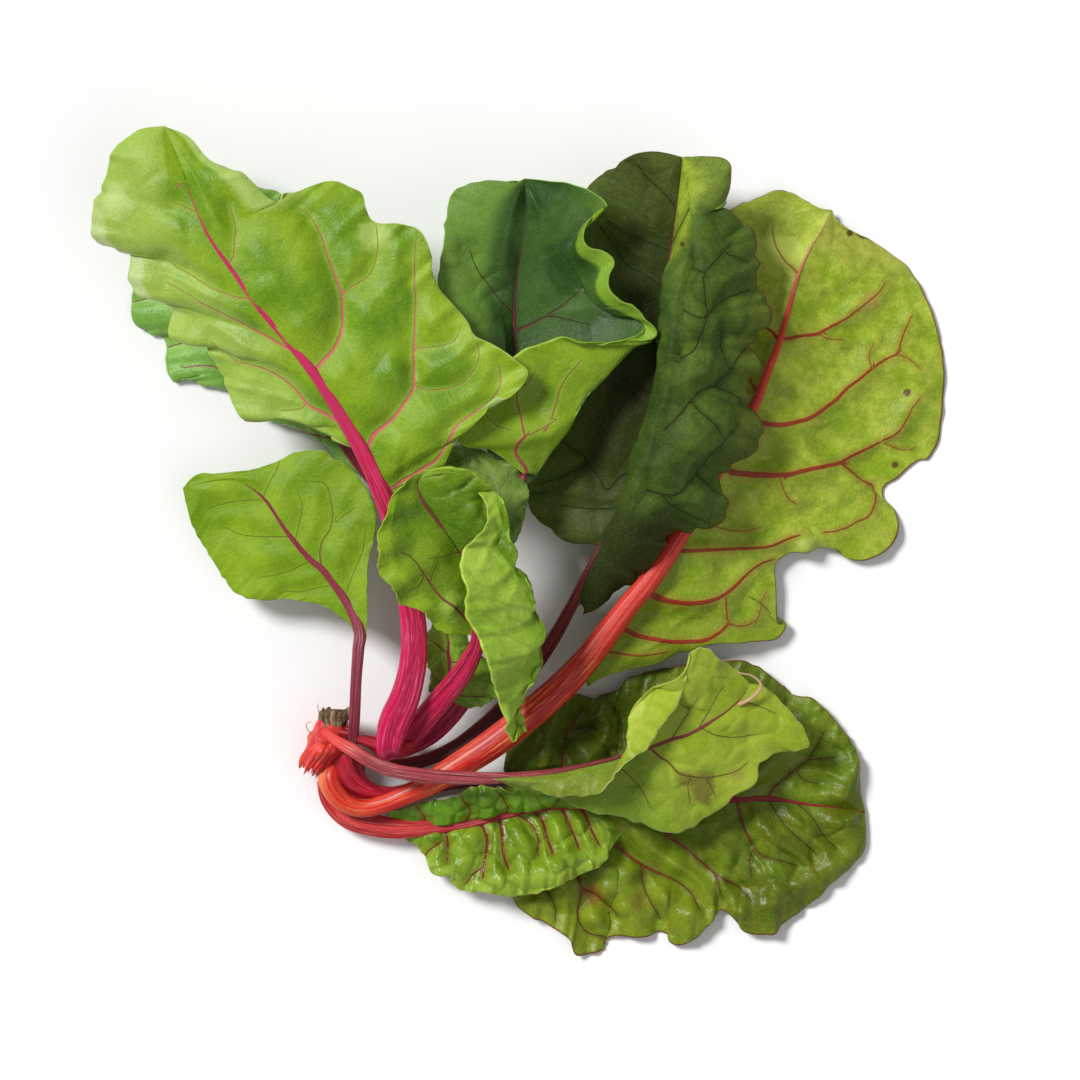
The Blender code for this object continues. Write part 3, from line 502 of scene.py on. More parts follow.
def half_sheet(leaf, half, side, columns, midrib, s):
    """One half of a blade from midrib to margin, and its three maps for the shader."""
    end_crowding, easing = 1.3, 0.8
    start = leaf.get(half + "_start", 0.0)
    shares = start + (1.0 - start) * (1.0 - (1.0 - s ** leaf["sweep"]) ** end_crowding)
    margin = edge_line(leaf, half, s)
    fold = edge_line(leaf, half + "_fold", s) if half + "_fold" in leaf else None
    t = np.linspace(0.0, 1.0, columns + 1)
    inner = along(midrib, shares)[:, :3]
    grid = blade_half(inner, fold, margin, t)
    inside = held_share((0.6 - t) * 5.0) * held_share(t * 10.0)
    for _ in range(leaf.get("relax", 0)):
        middle = (grid[:-2] + grid[2:]) / 2 - grid[1:-1]
        grid[1:-1] += easing * inside[None, :, None] * middle
    near, signed, width = nearest_vein(grid[..., :2], leaf[half + "_veins"])
    if fold is not None:
        beyond = t[None, :] > crest_share(inner, fold, margin)
        turned = nearest_vein(grid[..., :2], leaf.get(half + "_turned_veins", []))
        near, signed, width = (np.where(beyond, there, here) for there, here
                               in zip(turned, (near, signed, width)))
    normal = unit(np.cross(np.gradient(grid, axis=1) * side, np.gradient(grid, axis=0)))
    relief, creases = blade_relief(leaf, grid, s, t, near, side)
    outward = unit(np.gradient(grid, axis=1))
    waves = 2 * math.pi * leaf.get("waves", 5) * s
    lobes = leaf.get("scallop", 0.3) * np.sin(2.6 * waves + 1.5 * np.sin(1.7 * waves + side))
    lobes = lobes * held_share((1.0 - s) * 9.0) * held_share(s * 9.0)
    grid = grid + normal * relief[..., None] + outward * (lobes[:, None] * t ** 6)[..., None]
    flat = np.zeros_like(near)
    return grid, {"veins": np.stack([signed, near], axis=2),
                  "spread": np.stack([width, creases], axis=2),
                  "place": np.stack([t[None, :] + flat + (2 if side > 0 else 0),
                                     s[:, None] + flat], axis=2)}


def make_blade(name, leaf, upper, underside):
    """The green sheet of a leaf, joined along the midrib, with a skin on each face."""
    rolls = leaf.get("rolls", [0.0] * len(leaf["stalk"]))
    midrib = leaf_axis(leaf["stalk"], rolls)[leaf["join"] * curve_steps:]
    s = np.linspace(0.0, 1.0, leaf["rows"] + 1)
    left, left_maps = half_sheet(leaf, "left", -1, leaf["columns"][0], midrib, s)
    right, right_maps = half_sheet(leaf, "right", 1, leaf["columns"][1], midrib, s)
    points = np.concatenate([left[:, ::-1], right], axis=1)
    points[-1] = points[-1].mean(axis=0)
    points[:, :, 2] = np.maximum(points[:, :, 2], blade_clearance)
    blade = moved_grid(name, points,
                       {label: np.concatenate([left_maps[label][:, ::-1], values], axis=1)
                        for label, values in right_maps.items()})
    blade.data.materials.append(upper)
    blade.data.materials.append(underside)
    solidify = blade.modifiers.new("thickness", "SOLIDIFY")
    solidify.thickness = blade_thickness
    solidify.offset = 0.0
    solidify.material_offset = 1
    bpy.ops.object.modifier_apply(modifier="thickness")
    return blade


def make_stalk(name, leaf):
    """Stalk and midrib: a ridged tube with a shallow channel along its upper side."""
    top_flatness, belly_flatness, channel_depth = 0.50, 0.85, 0.16
    broad_ridge, fine_ridge = 0.030, 0.014
    base = leaf.get("base", [])
    axis = leaf_axis(base + leaf["stalk"],
                     [0.0] * len(base) + leaf.get("rolls", [0.0] * len(leaf["stalk"])))
    samples = along(axis, np.linspace(0.0, 1.0, int(run_along(axis[:, :3])[-1] / ring_gap)))
    angle = circle(36)
    level = np.where(np.sin(angle) > 0, top_flatness, belly_flatness) * np.sin(angle)
    channel = channel_depth * np.exp(-(np.cos(angle) / 0.5) ** 2) * (np.sin(angle) > 0)
    profile = np.column_stack([np.cos(angle), level - channel])
    if leaf.get("underside_up"):
        profile[:, 1] *= -1
    rings = []
    for i, sample in enumerate(samples):
        ridge = (1.0 + broad_ridge * np.cos(11 * angle + 0.05 * i)
                 + fine_ridge * np.cos(23 * angle - 0.11 * i))
        ring = profile * ridge[:, None] * sample[3] / 2
        centre = sample[:3] + sample[8:11] * leaf.get("rib_lift", 0.1) * sample[3]
        points = centre + ring[:, :1] * sample[5:8] + ring[:, 1:] * sample[8:11]
        points[:, 2] = np.maximum(points[:, 2], stalk_clearance)
        rings.append(points)
    below = (leaf["join"] + len(base)) * curve_steps + 1
    return closed_tube(name, np.array(rings), run_along(axis[:below, :3])[-1])


# Side veins drawn from their distances: the vein's own line, the strip beside it, the creases
# between swellings that take painted shade, and the place on the blade
side_veins, given = new_group(
    "side_veins", {"Width": 1.0, "Wander": 0.5},
    ["Main", "Thin", "Near", "Crease", "Across", "Lengthwise", "Half"])
(signed, distance), (vein_width, crease), (across, lengthwise) = [
    kept_pair(side_veins, label) for label in ("veins", "spread", "place")]
everywhere = add_node(side_veins, "ShaderNodeTexCoord").outputs["Object"]
wander = noise(side_veins, everywhere, 450.0, 3.0)[0]
shifted = maths(side_veins, "MULTIPLY_ADD", maths(side_veins, "SUBTRACT", wander, 0.5),
                given["Wander"], signed)
half_width = maths(side_veins, "MULTIPLY", vein_width,
                   maths(side_veins, "MULTIPLY", given["Width"], 0.5))
line = ramp(side_veins, maths(side_veins, "ABSOLUTE", shifted),
            maths(side_veins, "SUBTRACT", half_width, 0.12),
            maths(side_veins, "ADD", half_width, 0.18), 1.0, 0.0)
limit = ramp(side_veins, distance, maths(side_veins, "ADD", half_width, 0.7),
             maths(side_veins, "ADD", half_width, 1.3), 1.0, 0.0)
beside = ramp(side_veins, distance, half_width,
              maths(side_veins, "MULTIPLY_ADD", half_width, 2.0, 2.2), 1.0, 0.0)
on_right = maths(side_veins, "GREATER_THAN", across, 1.5)
add_node(side_veins, "NodeGroupOutput", {
    "Main": maths(side_veins, "MULTIPLY", line, limit),
    "Thin": ramp(side_veins, vein_width, 0.3, 0.9, 1.0, 0.0), "Near": beside,
    "Crease": ramp(side_veins, crease, 0.05, 0.45, 1.0, 0.0),
    "Across": maths(side_veins, "MULTIPLY_ADD", on_right, -2.0, across),
    "Lengthwise": lengthwise, "Half": on_right})

# The soft tissue: a net of the finest veins, cloudy patches and a minutely pebbled skin
tissue, given = new_group("leaf_tissue", {"Net size": 5.0, "Patch size": 22.0},
                          ["Net", "Patches", "Pebbles", "Specks", "Cells"], ["Place"])
place = add_node(tissue, "ShaderNodeTexCoord").outputs["Object"]
warp = noise(tissue, place, 160.0, 2.0)["Color"]
bent = add_node(tissue, "ShaderNodeVectorMath", {0: warp, 1: (0.004,) * 3, 2: place},
                operation="MULTIPLY_ADD").outputs[0]
per_metre = maths(tissue, "DIVIDE", 1000.0, given["Net size"])
net, finer, cells = [
    add_node(tissue, "ShaderNodeTexVoronoi", {"Vector": bent, "Scale": scale},
             feature=feature).outputs[0]
    for scale, feature in ((per_metre, "DISTANCE_TO_EDGE"),
                           (maths(tissue, "MULTIPLY", per_metre, 2.6), "DISTANCE_TO_EDGE"),
                           (850.0, "SMOOTH_F1"))]
patch_scale = maths(tissue, "DIVIDE", 1000.0, given["Patch size"])
add_node(tissue, "NodeGroupOutput", {
    "Net": maths(tissue, "MAXIMUM", ramp(tissue, net, 0.0, 0.07, 1.0, 0.0),
                 ramp(tissue, finer, 0.0, 0.12, 0.4, 0.0)),
    "Patches": noise(tissue, place, patch_scale, 4.0, Roughness=0.6)[0],
    "Pebbles": noise(tissue, place, 900.0, 3.0)[0],
    "Specks": noise(tissue, place, 75.0, 5.0, Roughness=0.75)[0],
    "Cells": ramp(tissue, cells, 0.1, 0.75, 1.0, 0.0),
    "Place": add_node(tissue, "ShaderNodeVectorMath", {0: place, 1: (1000.0, 1000.0, 0.0)},
                      operation="MULTIPLY").outputs[0]})


def leaf_zone(tree, lines, half, across, lengthwise, lean=0.0):
    """A soft-edged mask on one half of a blade, between shares of its width and length."""
    mask = lines["Half"]
    if half == "left":
        mask = maths(tree, "SUBTRACT", 1.0, mask)
    leaning = maths(tree, "MULTIPLY_ADD", maths(tree, "SUBTRACT", 1.0, lines["Lengthwise"]),
                    lean, lines["Across"])
    for value, (start, end) in ((leaning, across), (lines["Lengthwise"], lengthwise)):
        soft = 0.35 * (end - start)
        if start > 0:
            mask = maths(tree, "MULTIPLY", mask, ramp(tree, value, start - 0.01, start + soft))
        if end < 1:
            mask = maths(tree, "MULTIPLY", mask, ramp(tree, value, end - soft, end, 1.0, 0.0))
    return mask


def blade_material(name, light, dark, vein, rim, net=None, vein_width=1.0, patch_size=22.0,
                   net_share=0.35, spots=None, spot_level=0.72, roughness=0.40, raised=-1.0,
                   near=None, near_share=0.3, tint=None, tint_share=0.0, gloss=0.25,
                   crease=None, crease_shade_share=0.0, thin_vein=None, sheen=0.05, zones=(), marks=()):
    """Leaf skin: cloudy greens, side veins, a fine net, a thin rim and scattered spots."""
    grain_share, vein_share, vein_rise, net_rise, grain_rise = 0.22, 0.92, 1.3, 0.12, 0.34
    rim_from, rim_full = 0.988, 0.997       # shares of the way to the margin
    material, tree, shader = new_skin(name, gloss)
    shader.inputs["Sheen Weight"].default_value = sheen
    lines = add_node(tree, "ShaderNodeGroup", node_tree=side_veins)
    lines.inputs["Width"].default_value = vein_width
    skin = add_node(tree, "ShaderNodeGroup", node_tree=tissue)
    skin.inputs["Patch size"].default_value = patch_size
    lines, skin = lines.outputs, skin.outputs
    base = blend(tree, ramp(tree, skin["Patches"], 0.33, 0.67), dark, light)
    for half, across, lengthwise, zone_colour, share, *lean in zones:
        zone = leaf_zone(tree, lines, half, across, lengthwise, *lean)
        base = part_blend(tree, zone, share, base, zone_colour)
    if tint:
        base = part_blend(tree, ramp(tree, skin["Specks"], 0.42, 0.66), tint_share, base, tint)
    # Beside the side veins the colour turns towards the near colour, by default the light green:
    # partly the yellower tissue there and partly a painted highlight along the vein grooves.
    base = part_blend(tree, lines["Near"], near_share, base, near or light)
    grain = maths(tree, "MULTIPLY_ADD", skin["Pebbles"], 0.6, skin["Cells"])
    base = blend(tree, ramp(tree, grain, 0.5, 1.2, grain_share, 0.0), base, dark)
    base = blend(tree, ramp(tree, grain, 0.7, 1.3, 0.0, grain_share), base, light)
    base = part_blend(tree, skin["Net"], net_share, base, net or light)
    # Painted shade darkens the creases between the swellings.
    if crease:
        base = part_blend(tree, lines["Crease"], crease_shade_share, base, crease)
    if spots:
        base = blend(tree, ramp(tree, skin["Specks"], spot_level, spot_level + 0.03), base, spots)
    for x, y, radius, mark_colour, share in marks:
        away = add_node(tree, "ShaderNodeVectorMath", {0: skin["Place"], 1: (x, y, 0.0)},
                        operation="DISTANCE").outputs["Value"]
        edge = maths(tree, "MULTIPLY_ADD", maths(tree, "SUBTRACT", skin["Specks"], 0.5),
                     radius * 2.5, away)
        base = part_blend(tree, ramp(tree, edge, radius * 0.35, radius, 1.0, 0.0), share, base,
                          mark_colour)
    vein_colour = blend(tree, lines["Thin"], vein, thin_vein or vein)
    base = part_blend(tree, lines["Main"], vein_share, base, vein_colour)
    base = blend(tree, ramp(tree, lines["Across"], rim_from, rim_full), base, rim)
    veins_up = maths(tree, "MULTIPLY_ADD", lines["Main"], vein_rise * raised,
                     maths(tree, "MULTIPLY", skin["Net"], net_rise * raised))
    cover(tree, shader, base,
          ramp(tree, skin["Patches"], 0.3, 0.7, roughness - 0.05, roughness + 0.09),
          maths(tree, "MULTIPLY_ADD", grain, grain_rise, veins_up), 0.8)
    return material


def grow_leaf(name, leaf, showing, hidden, stalk):
    """Make a leaf's blade and stalk from its outlines and skins, and put them in the frame."""
    faces = ("under", "upper") if leaf.get("underside_up") else ("upper", "under")
    skins = [blade_material(f"{name}_{face}", **skin)
             for face, skin in zip(faces, (showing, hidden))]
    dress(make_blade(f"{name}_leaf_skin", leaf, *skins), f"{name}_leaf_blade")
    rib = make_stalk(f"{name}_leaf_rib", leaf)
    rib.data.materials.append(stalk_material(f"{name}_stalk_skin", **stalk))
    dress(rib, f"{name}_leaf_stalk")


# A leaf is drawn from above. Its stalk lists x, y, height and width from the crown to the
# tip, and the blade begins at the point that join numbers. Margins run from the blade's foot
# towards the tip, with heights spread evenly along them. Each side vein gives its width at
# both ends, then its points. A bump is a single dent or blister: x, y, radius and rise.
# Quilt, swelling, billow, ruffle, frill and scallop say how far the sheet rises and waves.

crinkled_leaf = dict(
    join=5, sweep=1.1, rows=200, columns=(44, 50), quilt=3.8, swelling=2.2, swelling_size=9.0,
    grain=(-75.0, 1.4), rib_lift=0.36, frill=0.8, scallop=0.35, vein_groove=3.6,
    bumps=[(-50, -112.8, 4, 2), (-38.3, -110.3, 5, 2.6), (-26.5, -108.6, 5, 2.4),
           (-14.8, -106.9, 5, 2.6), (-2.2, -106.9, 5, 2.2), (11.3, -106.9, 5, 2.4),
           (-33.2, -138, 4, 1.8), (-21.5, -139.7, 4.5, 2), (-8.9, -143.1, 4.5, 2),
           (3.7, -141.4, 4.5, 2), (16.3, -138, 4.5, 2)],
    stalk=[(-84.1, -100.6, 4, 5), (-82.4, -107.8, 4, 5.9), (-78.2, -113.7, 4, 6.7),
           (-71.9, -117.4, 4.2, 8.4), (-62.6, -119.5, 4.6, 9.2), (-53.4, -120.8, 5, 8.8),
           (-44.2, -120.8, 6, 7.1), (-34.1, -120, 7, 5.5), (-24.8, -119.1, 8, 4.2),
           (-15.6, -117, 9, 3.6), (-6.4, -114.9, 9.5, 3.1), (3.7, -112.8, 10.5, 2.7),
           (18.8, -111.6, 11, 2.1), (33.1, -113.2, 10, 1.5), (46.6, -117.9, 9, 1.3)],
    left=[(-56.8, -113.7), (-50.9, -112), (-41.2, -109), (-27.4, -104.8), (-17.3, -101.9),
          (0.8, -102.7), (16.3, -104.4), (31, -106.9), (41.5, -112.8)],
    left_heights=[10, 12, 15, 17, 18, 16, 13, 9],
    left_veins=[
        (0.5, 0.25, (-42.5, -120), (-40.8, -115.3), (-45, -110.3)),
        (0.5, 0.25, (-24.8, -118.7), (-21.5, -112.8), (-24.8, -106.1)),
        (0.5, 0.25, (-6.8, -114.5), (-5.5, -109.5), (-9.7, -103.6)),
        (0.5, 0.25, (10, -112), (14.6, -108.6), (16.3, -104.8))],
    right=[(-47.5, -126.7), (-43.7, -127.9), (-40.4, -133.8), (-37, -140.1), (-27.8, -141.4),
           (-26.5, -146.8), (-14.8, -147.7), (-4.7, -149.4), (7.9, -147.7), (20.5, -142.2),
           (33.1, -136.3), (38.2, -128.4)],
    right_heights=[5, 7, 10, 12, 13, 12, 10, 9],
    right_veins=[
        (0.9, 0.6, (-31.6, -121.2), (-31.1, -126.7), (-31.1, -133.8)),
        (1.1, 0.6, (-17.3, -117.9), (-15.2, -122.1), (-14.3, -125.4), (-14.8, -131.3),
         (-15.6, -137.2), (-16, -141.4)),
        (1.2, 0.7, (-9.3, -116.2), (-8, -122.5), (-7.6, -128.8), (-6.8, -133.8), (-5.5, -137.2)),
        (0.6, 0.4, (-3, -114.1), (2, -117), (5.8, -120.8), (7.5, -126.7), (7.1, -132.1)),
        (1.2, 0.7, (4.6, -112.8), (7.9, -115.8), (10, -120.4), (11.7, -126.7), (13.4, -131.3)),
        (1.2, 0.6, (10.4, -112), (15.5, -111.1), (18, -113.7), (20.5, -119.5), (22.6, -124.6),
         (23.9, -128.8)),
        (1.1, 0.6, (24.7, -112), (27.2, -115.3), (28.5, -118.7), (30.6, -123.7), (32.7, -127.5)),
        (0.8, 0.5, (38.2, -114.1), (40.7, -117), (42.4, -120.4)),
        (0.5, 0.3, (-34.1, -126.7), (-38.3, -129.6), (-40.8, -132.1)),
        (0.5, 0.3, (-15.6, -137.2), (-19.8, -139.7), (-23.2, -143.9))])
grow_leaf(
    "crinkled", crinkled_leaf,
    showing=dict(
        light=(132, 162, 34), dark=(92, 126, 14), vein=(112, 26, 26), rim=(170, 186, 70),
        # crease colour: painted shade in the creases between the blisters
        crease=(66, 92, 12), crease_shade_share=0.4, near=(124, 84, 28), near_share=0.5,
        net=(160, 176, 50), net_share=0.12, roughness=0.31, vein_width=1.25, sheen=0.0,
        gloss=0.35,
        zones=[("left", whole, whole, (82, 142, 20), 0.65),
               ("right", (0.72, 1.0), whole, (158, 182, 56), 0.6)]),
    hidden=dict(
        light=(140, 165, 50), dark=(115, 145, 35), vein=(175, 70, 60), rim=(150, 180, 80),
        raised=1.0),
    stalk=dict(
        main=(205, 40, 48), pale=(250, 135, 100), deep=(150, 18, 30), streak=0.7,
        rib=(165, 35, 45)))

# ----------------------------------------------------------------------------------------
# Low right leaf: a broad dark blade that lies flat on the table under the others,
# its stalk hidden below the thick orange one.

low_right_leaf = dict(
    join=5, sweep=1.4, rows=210, columns=(56, 60), quilt=6.5, swelling=2.8, swelling_size=12.0,
    grain=(-45.0, 1.5), vein_groove=6.5,
    bumps=[(35.6, -147.7, 4.5, 4), (43.6, -155.7, 4, 3.6), (30.2, -159.9, 4, 3.6),
           (47.8, -138.9, 4, 3.2), (60, -149.8, 5, 4.2), (66.3, -136.3, 4.5, 3.4),
           (13, -149.8, 5, 3.8), (72.6, -155.7, 4, 3.6), (84.8, -143.5, 5, 4.4),
           (93.2, -155.7, 4.5, 4), (76.8, -132.1, 4, 3.2), (102.8, -153.1, 4.5, 3.4),
           (89, -122.9, 5, 2), (35.6, -166.6, 4, 3.2), (117.1, -141.4, 6, 1.6),
           (129.7, -120.4, 6, -1.4), (112.9, -120.4, 6, 1.4)],
    frill=0.8, waves=7, billow=1.8,
    stalk=[(-66.8, -110.3, 2.2, 3.4), (-61.8, -109.9, 2.4, 3.8), (-54.2, -107.8, 2.5, 4.2),
           (-38.3, -103.6, 2.5, 5), (-21.5, -100.6, 2.5, 5.5), (-5.5, -99.8, 3, 5),
           (16.3, -99.4, 3.5, 4.6), (41.5, -101.9, 4, 4.2), (66.7, -105.7, 4.5, 3.8),
           (86.9, -108.2, 5, 3.4), (104.9, -108.2, 5, 2.5), (123.4, -110.7, 4, 1.9),
           (145.7, -114.1, 2, 1.3)],
    left=[(-7.6, -96), (-5.1, -85.1), (-0.9, -82.2), (10.4, -73.3), (22.2, -64.1),
          (29.3, -65.4), (39.8, -62), (44.5, -57), (56.2, -54), (66.7, -52.3), (86.9, -50.2),
          (96.1, -50.7), (104.9, -55.7), (116.3, -64.5), (123.4, -66.2), (131.4, -73.3),
          (137.7, -81.3), (141.9, -89.3), (143.6, -103.6)],
    left_heights=[3, 5, 7, 5, 3, 2, 1, 1, 1, 2],
    left_veins=[
        (1.0, 0.3, (104.5, -107.8), (107, -103.6), (110.8, -100.2), (115.9, -96),
         (120.5, -92.7), (125.5, -91.4), (132.2, -91)),
        (0.4, 0.25, (115.9, -96), (119.6, -100.2), (125.5, -101.9)),
        (1.0, 0.5, (17.2, -97.7), (17.6, -91), (18.4, -84.7), (19.7, -80.1), (22.6, -75),
         (26, -70)),
        (0.5, 0.3, (19.7, -80.1), (24.7, -78.4), (30.6, -78.4)),
        (0.6, 0.3, (38.2, -101.5), (40.7, -86.8), (41.5, -72.1)),
        (0.5, 0.3, (120.5, -92.7), (125.5, -85.9), (128, -80.5)),
        (0.6, 0.3, (81.4, -107.8), (94, -91), (107.9, -74.2), (112.9, -65.8))],
    right=[(-6.4, -103.6), (-8.9, -128.8), (-3.8, -149.4), (1.2, -156.5), (11.3, -161.5),
           (20.9, -167.8), (23.5, -174.6), (34.8, -172.9), (36.1, -167.8), (41.1, -166.6),
           (51.2, -166.6), (61.3, -164.9), (63.8, -169.9), (69.7, -169.9), (77.6, -162.8),
           (84.4, -154.8), (91.9, -159.9), (96.1, -165.3), (107, -165.3), (111.2, -160.7),
           (122.6, -152.7), (131.4, -144.3), (140.6, -136.3), (145.7, -128.8)],
    right_heights=[3, 2, 1, 1, 0, 0, 0, 1, 1, 2],
    right_veins=[
        (1.2, 0.35, (91.1, -108.2), (92.3, -114.1), (94, -119.5), (96.5, -124.6),
         (98.6, -128.8), (102.4, -132.1), (108.7, -133.8), (115.9, -136.3)),
        (1.5, 0.4, (55, -112.8), (60, -120.8), (64.6, -125.8), (70.1, -129.6), (75.1, -133.8),
         (81.4, -139.3), (86.5, -142.2), (92.8, -146), (98.2, -151.9)),
        (1.5, 0.5, (33.1, -122.5), (38.6, -126.7), (43.6, -130.9), (49.9, -135.5), (55, -138.4),
         (61.7, -141.4), (66.7, -143.9), (71.8, -148.1), (75.1, -154)),
        (0.7, 0.35, (50.8, -136.3), (51.6, -143.5), (53.3, -148.9), (56.2, -154),
         (58.7, -158.6)),
        (1.0, 0.5, (21.4, -136.3), (23.9, -141.4), (25.6, -146.4), (24.7, -151.9),
         (23.9, -157.3), (25.6, -162.4), (28.9, -165.7), (35.2, -167)),
        (1.0, 0.4, (25.6, -146.4), (29.8, -147.7), (33.5, -150.2), (37.3, -154), (40.7, -157.3)),
        (0.5, 0.3, (6.2, -143.1), (10, -146.4), (13, -150.2), (14.6, -154.8), (14.6, -159.9)),
        (0.5, 0.3, (98.6, -128.8), (97, -135.1), (98.2, -141.4)),
        (0.5, 0.3, (81.4, -139.3), (83.5, -144.7), (85.2, -149.8)),
        (0.4, 0.25, (117.1, -110.3), (123.4, -116.2), (128, -123.7), (133.1, -128.8)),
        (0.4, 0.25, (104.9, -109), (110.8, -118.3), (117.1, -124.6), (124.7, -131.3))])
grow_leaf(
    "low_right", low_right_leaf,
    showing=dict(
        light=(118, 142, 26), dark=(70, 94, 8), vein=(118, 38, 28), rim=(120, 52, 30),
        thin_vein=(92, 62, 26), near=(54, 60, 8), near_share=0.45, net=(112, 130, 32),
        net_share=0.14, roughness=0.36, sheen=0.0, tint=(116, 92, 30), tint_share=0.4,
        zones=[("left", whole, (0.0, 0.55), (52, 78, 12), 0.7),
               ("right", (0.55, 1.0), (0.0, 0.75), (146, 162, 34), 0.65),
               ("right", (0.1, 1.0), (0.72, 1.0), (92, 108, 18), 0.5)],
        marks=[(29.8, -148.5, 6.0, (126, 66, 32), 0.6), (49.9, -151.9, 5.0, (120, 84, 34), 0.4),
               (111.2, -127.1, 5.0, (70, 66, 18), 0.4)]),
    hidden=dict(
        light=(120, 150, 50), dark=(95, 130, 40), vein=(150, 60, 60), rim=(130, 90, 60),
        raised=1.0),
    stalk=dict(
        main=(140, 30, 36), pale=(180, 80, 70), deep=(90, 10, 18)))

# ----------------------------------------------------------------------------------------
# Hidden left leaf: a plain green blade on a red-brown stalk. It lies on the table under the
# tall left leaf and shows only its edges.

hidden_left_leaf = dict(
    join=6, sweep=1.5, rows=110, columns=(24, 24), fine=0.3, left_start=0.04, quilt=2.0,
    swelling=0.9, frill=1.0,
    stalk=[(-52.1, -80.5, 11, 5), (-50.5, -72.1, 12, 5.9), (-47.5, -57.4, 14, 6.3),
           (-46.3, -40.6, 16, 6.3), (-47.5, -19.6, 18, 5.9), (-52.6, 1.4, 18, 5.5),
           (-59.7, 21.6, 18, 5), (-69.8, 35, 17, 4.6), (-88.7, 60.2, 15, 3.8),
           (-113.9, 89.6, 12, 2.9), (-134.9, 114.8, 9, 2.1), (-139.1, 135.8, 8, 1.5),
           (-139.9, 148.4, 8, 1.3)],
    left=[(-67.7, 28.3), (-78.6, 36.7), (-82, 43), (-94.1, 47.6), (-108.8, 54.3),
          (-122.3, 62.7), (-131.5, 66.1), (-143.3, 71.6), (-149.6, 72.8), (-151.7, 86.3),
          (-163.9, 93.8), (-165.1, 104.7), (-163.4, 110.6), (-155.9, 129.5)],
    left_heights=[15, 9, 5, 1, 0, 2, 4, 8],
    left_veins=[
        (0.9, 0.3, (-76.1, 43.4), (-88.7, 46.8), (-101.3, 50.1)),
        (0.9, 0.3, (-97.1, 69.5), (-113.9, 70.3), (-130.7, 75.3), (-143.3, 74.5)),
        (0.7, 0.3, (-118.1, 93.8), (-134.9, 87.5), (-149.6, 83.3)),
        (0.6, 0.3, (-132.8, 112.7), (-149.6, 106.4), (-164.3, 102.2))],
    right=[(-55.9, 26.6), (-51.7, 47.6), (-57.2, 81.2), (-67.7, 106.4), (-82.4, 129.5),
           (-96.2, 145.1), (-114.3, 150.9)],
    right_heights=[18, 22, 24, 22, 20, 16, 8],
    right_veins=[
        (1.0, 0.3, (-67.7, 30.8), (-60.1, 43.4), (-54.2, 56)),
        (0.9, 0.3, (-84.5, 56), (-71.9, 68.6), (-61.4, 93.8)),
        (0.8, 0.3, (-105.5, 81.2), (-90.8, 98), (-80.3, 127.4)),
        (0.6, 0.3, (-126.5, 106.4), (-111.8, 123.2), (-101.3, 146.3))])
grow_leaf(
    "hidden_left", hidden_left_leaf,
    showing=dict(
        light=(140, 184, 84), dark=(108, 156, 60), vein=(150, 60, 80), rim=(150, 180, 110)),
    hidden=dict(
        light=(120, 160, 90), dark=(100, 140, 70), vein=(150, 70, 80), rim=(150, 180, 110),
        raised=1.0),
    stalk=dict(
        main=(150, 40, 60), pale=(200, 110, 120), deep=(100, 20, 30)))

# ----------------------------------------------------------------------------------------
# Broad right leaf: the thickest stalk, orange-red, curves round the front of the crown. Its
# blade shows its underside, so the red veins stand proud of it.

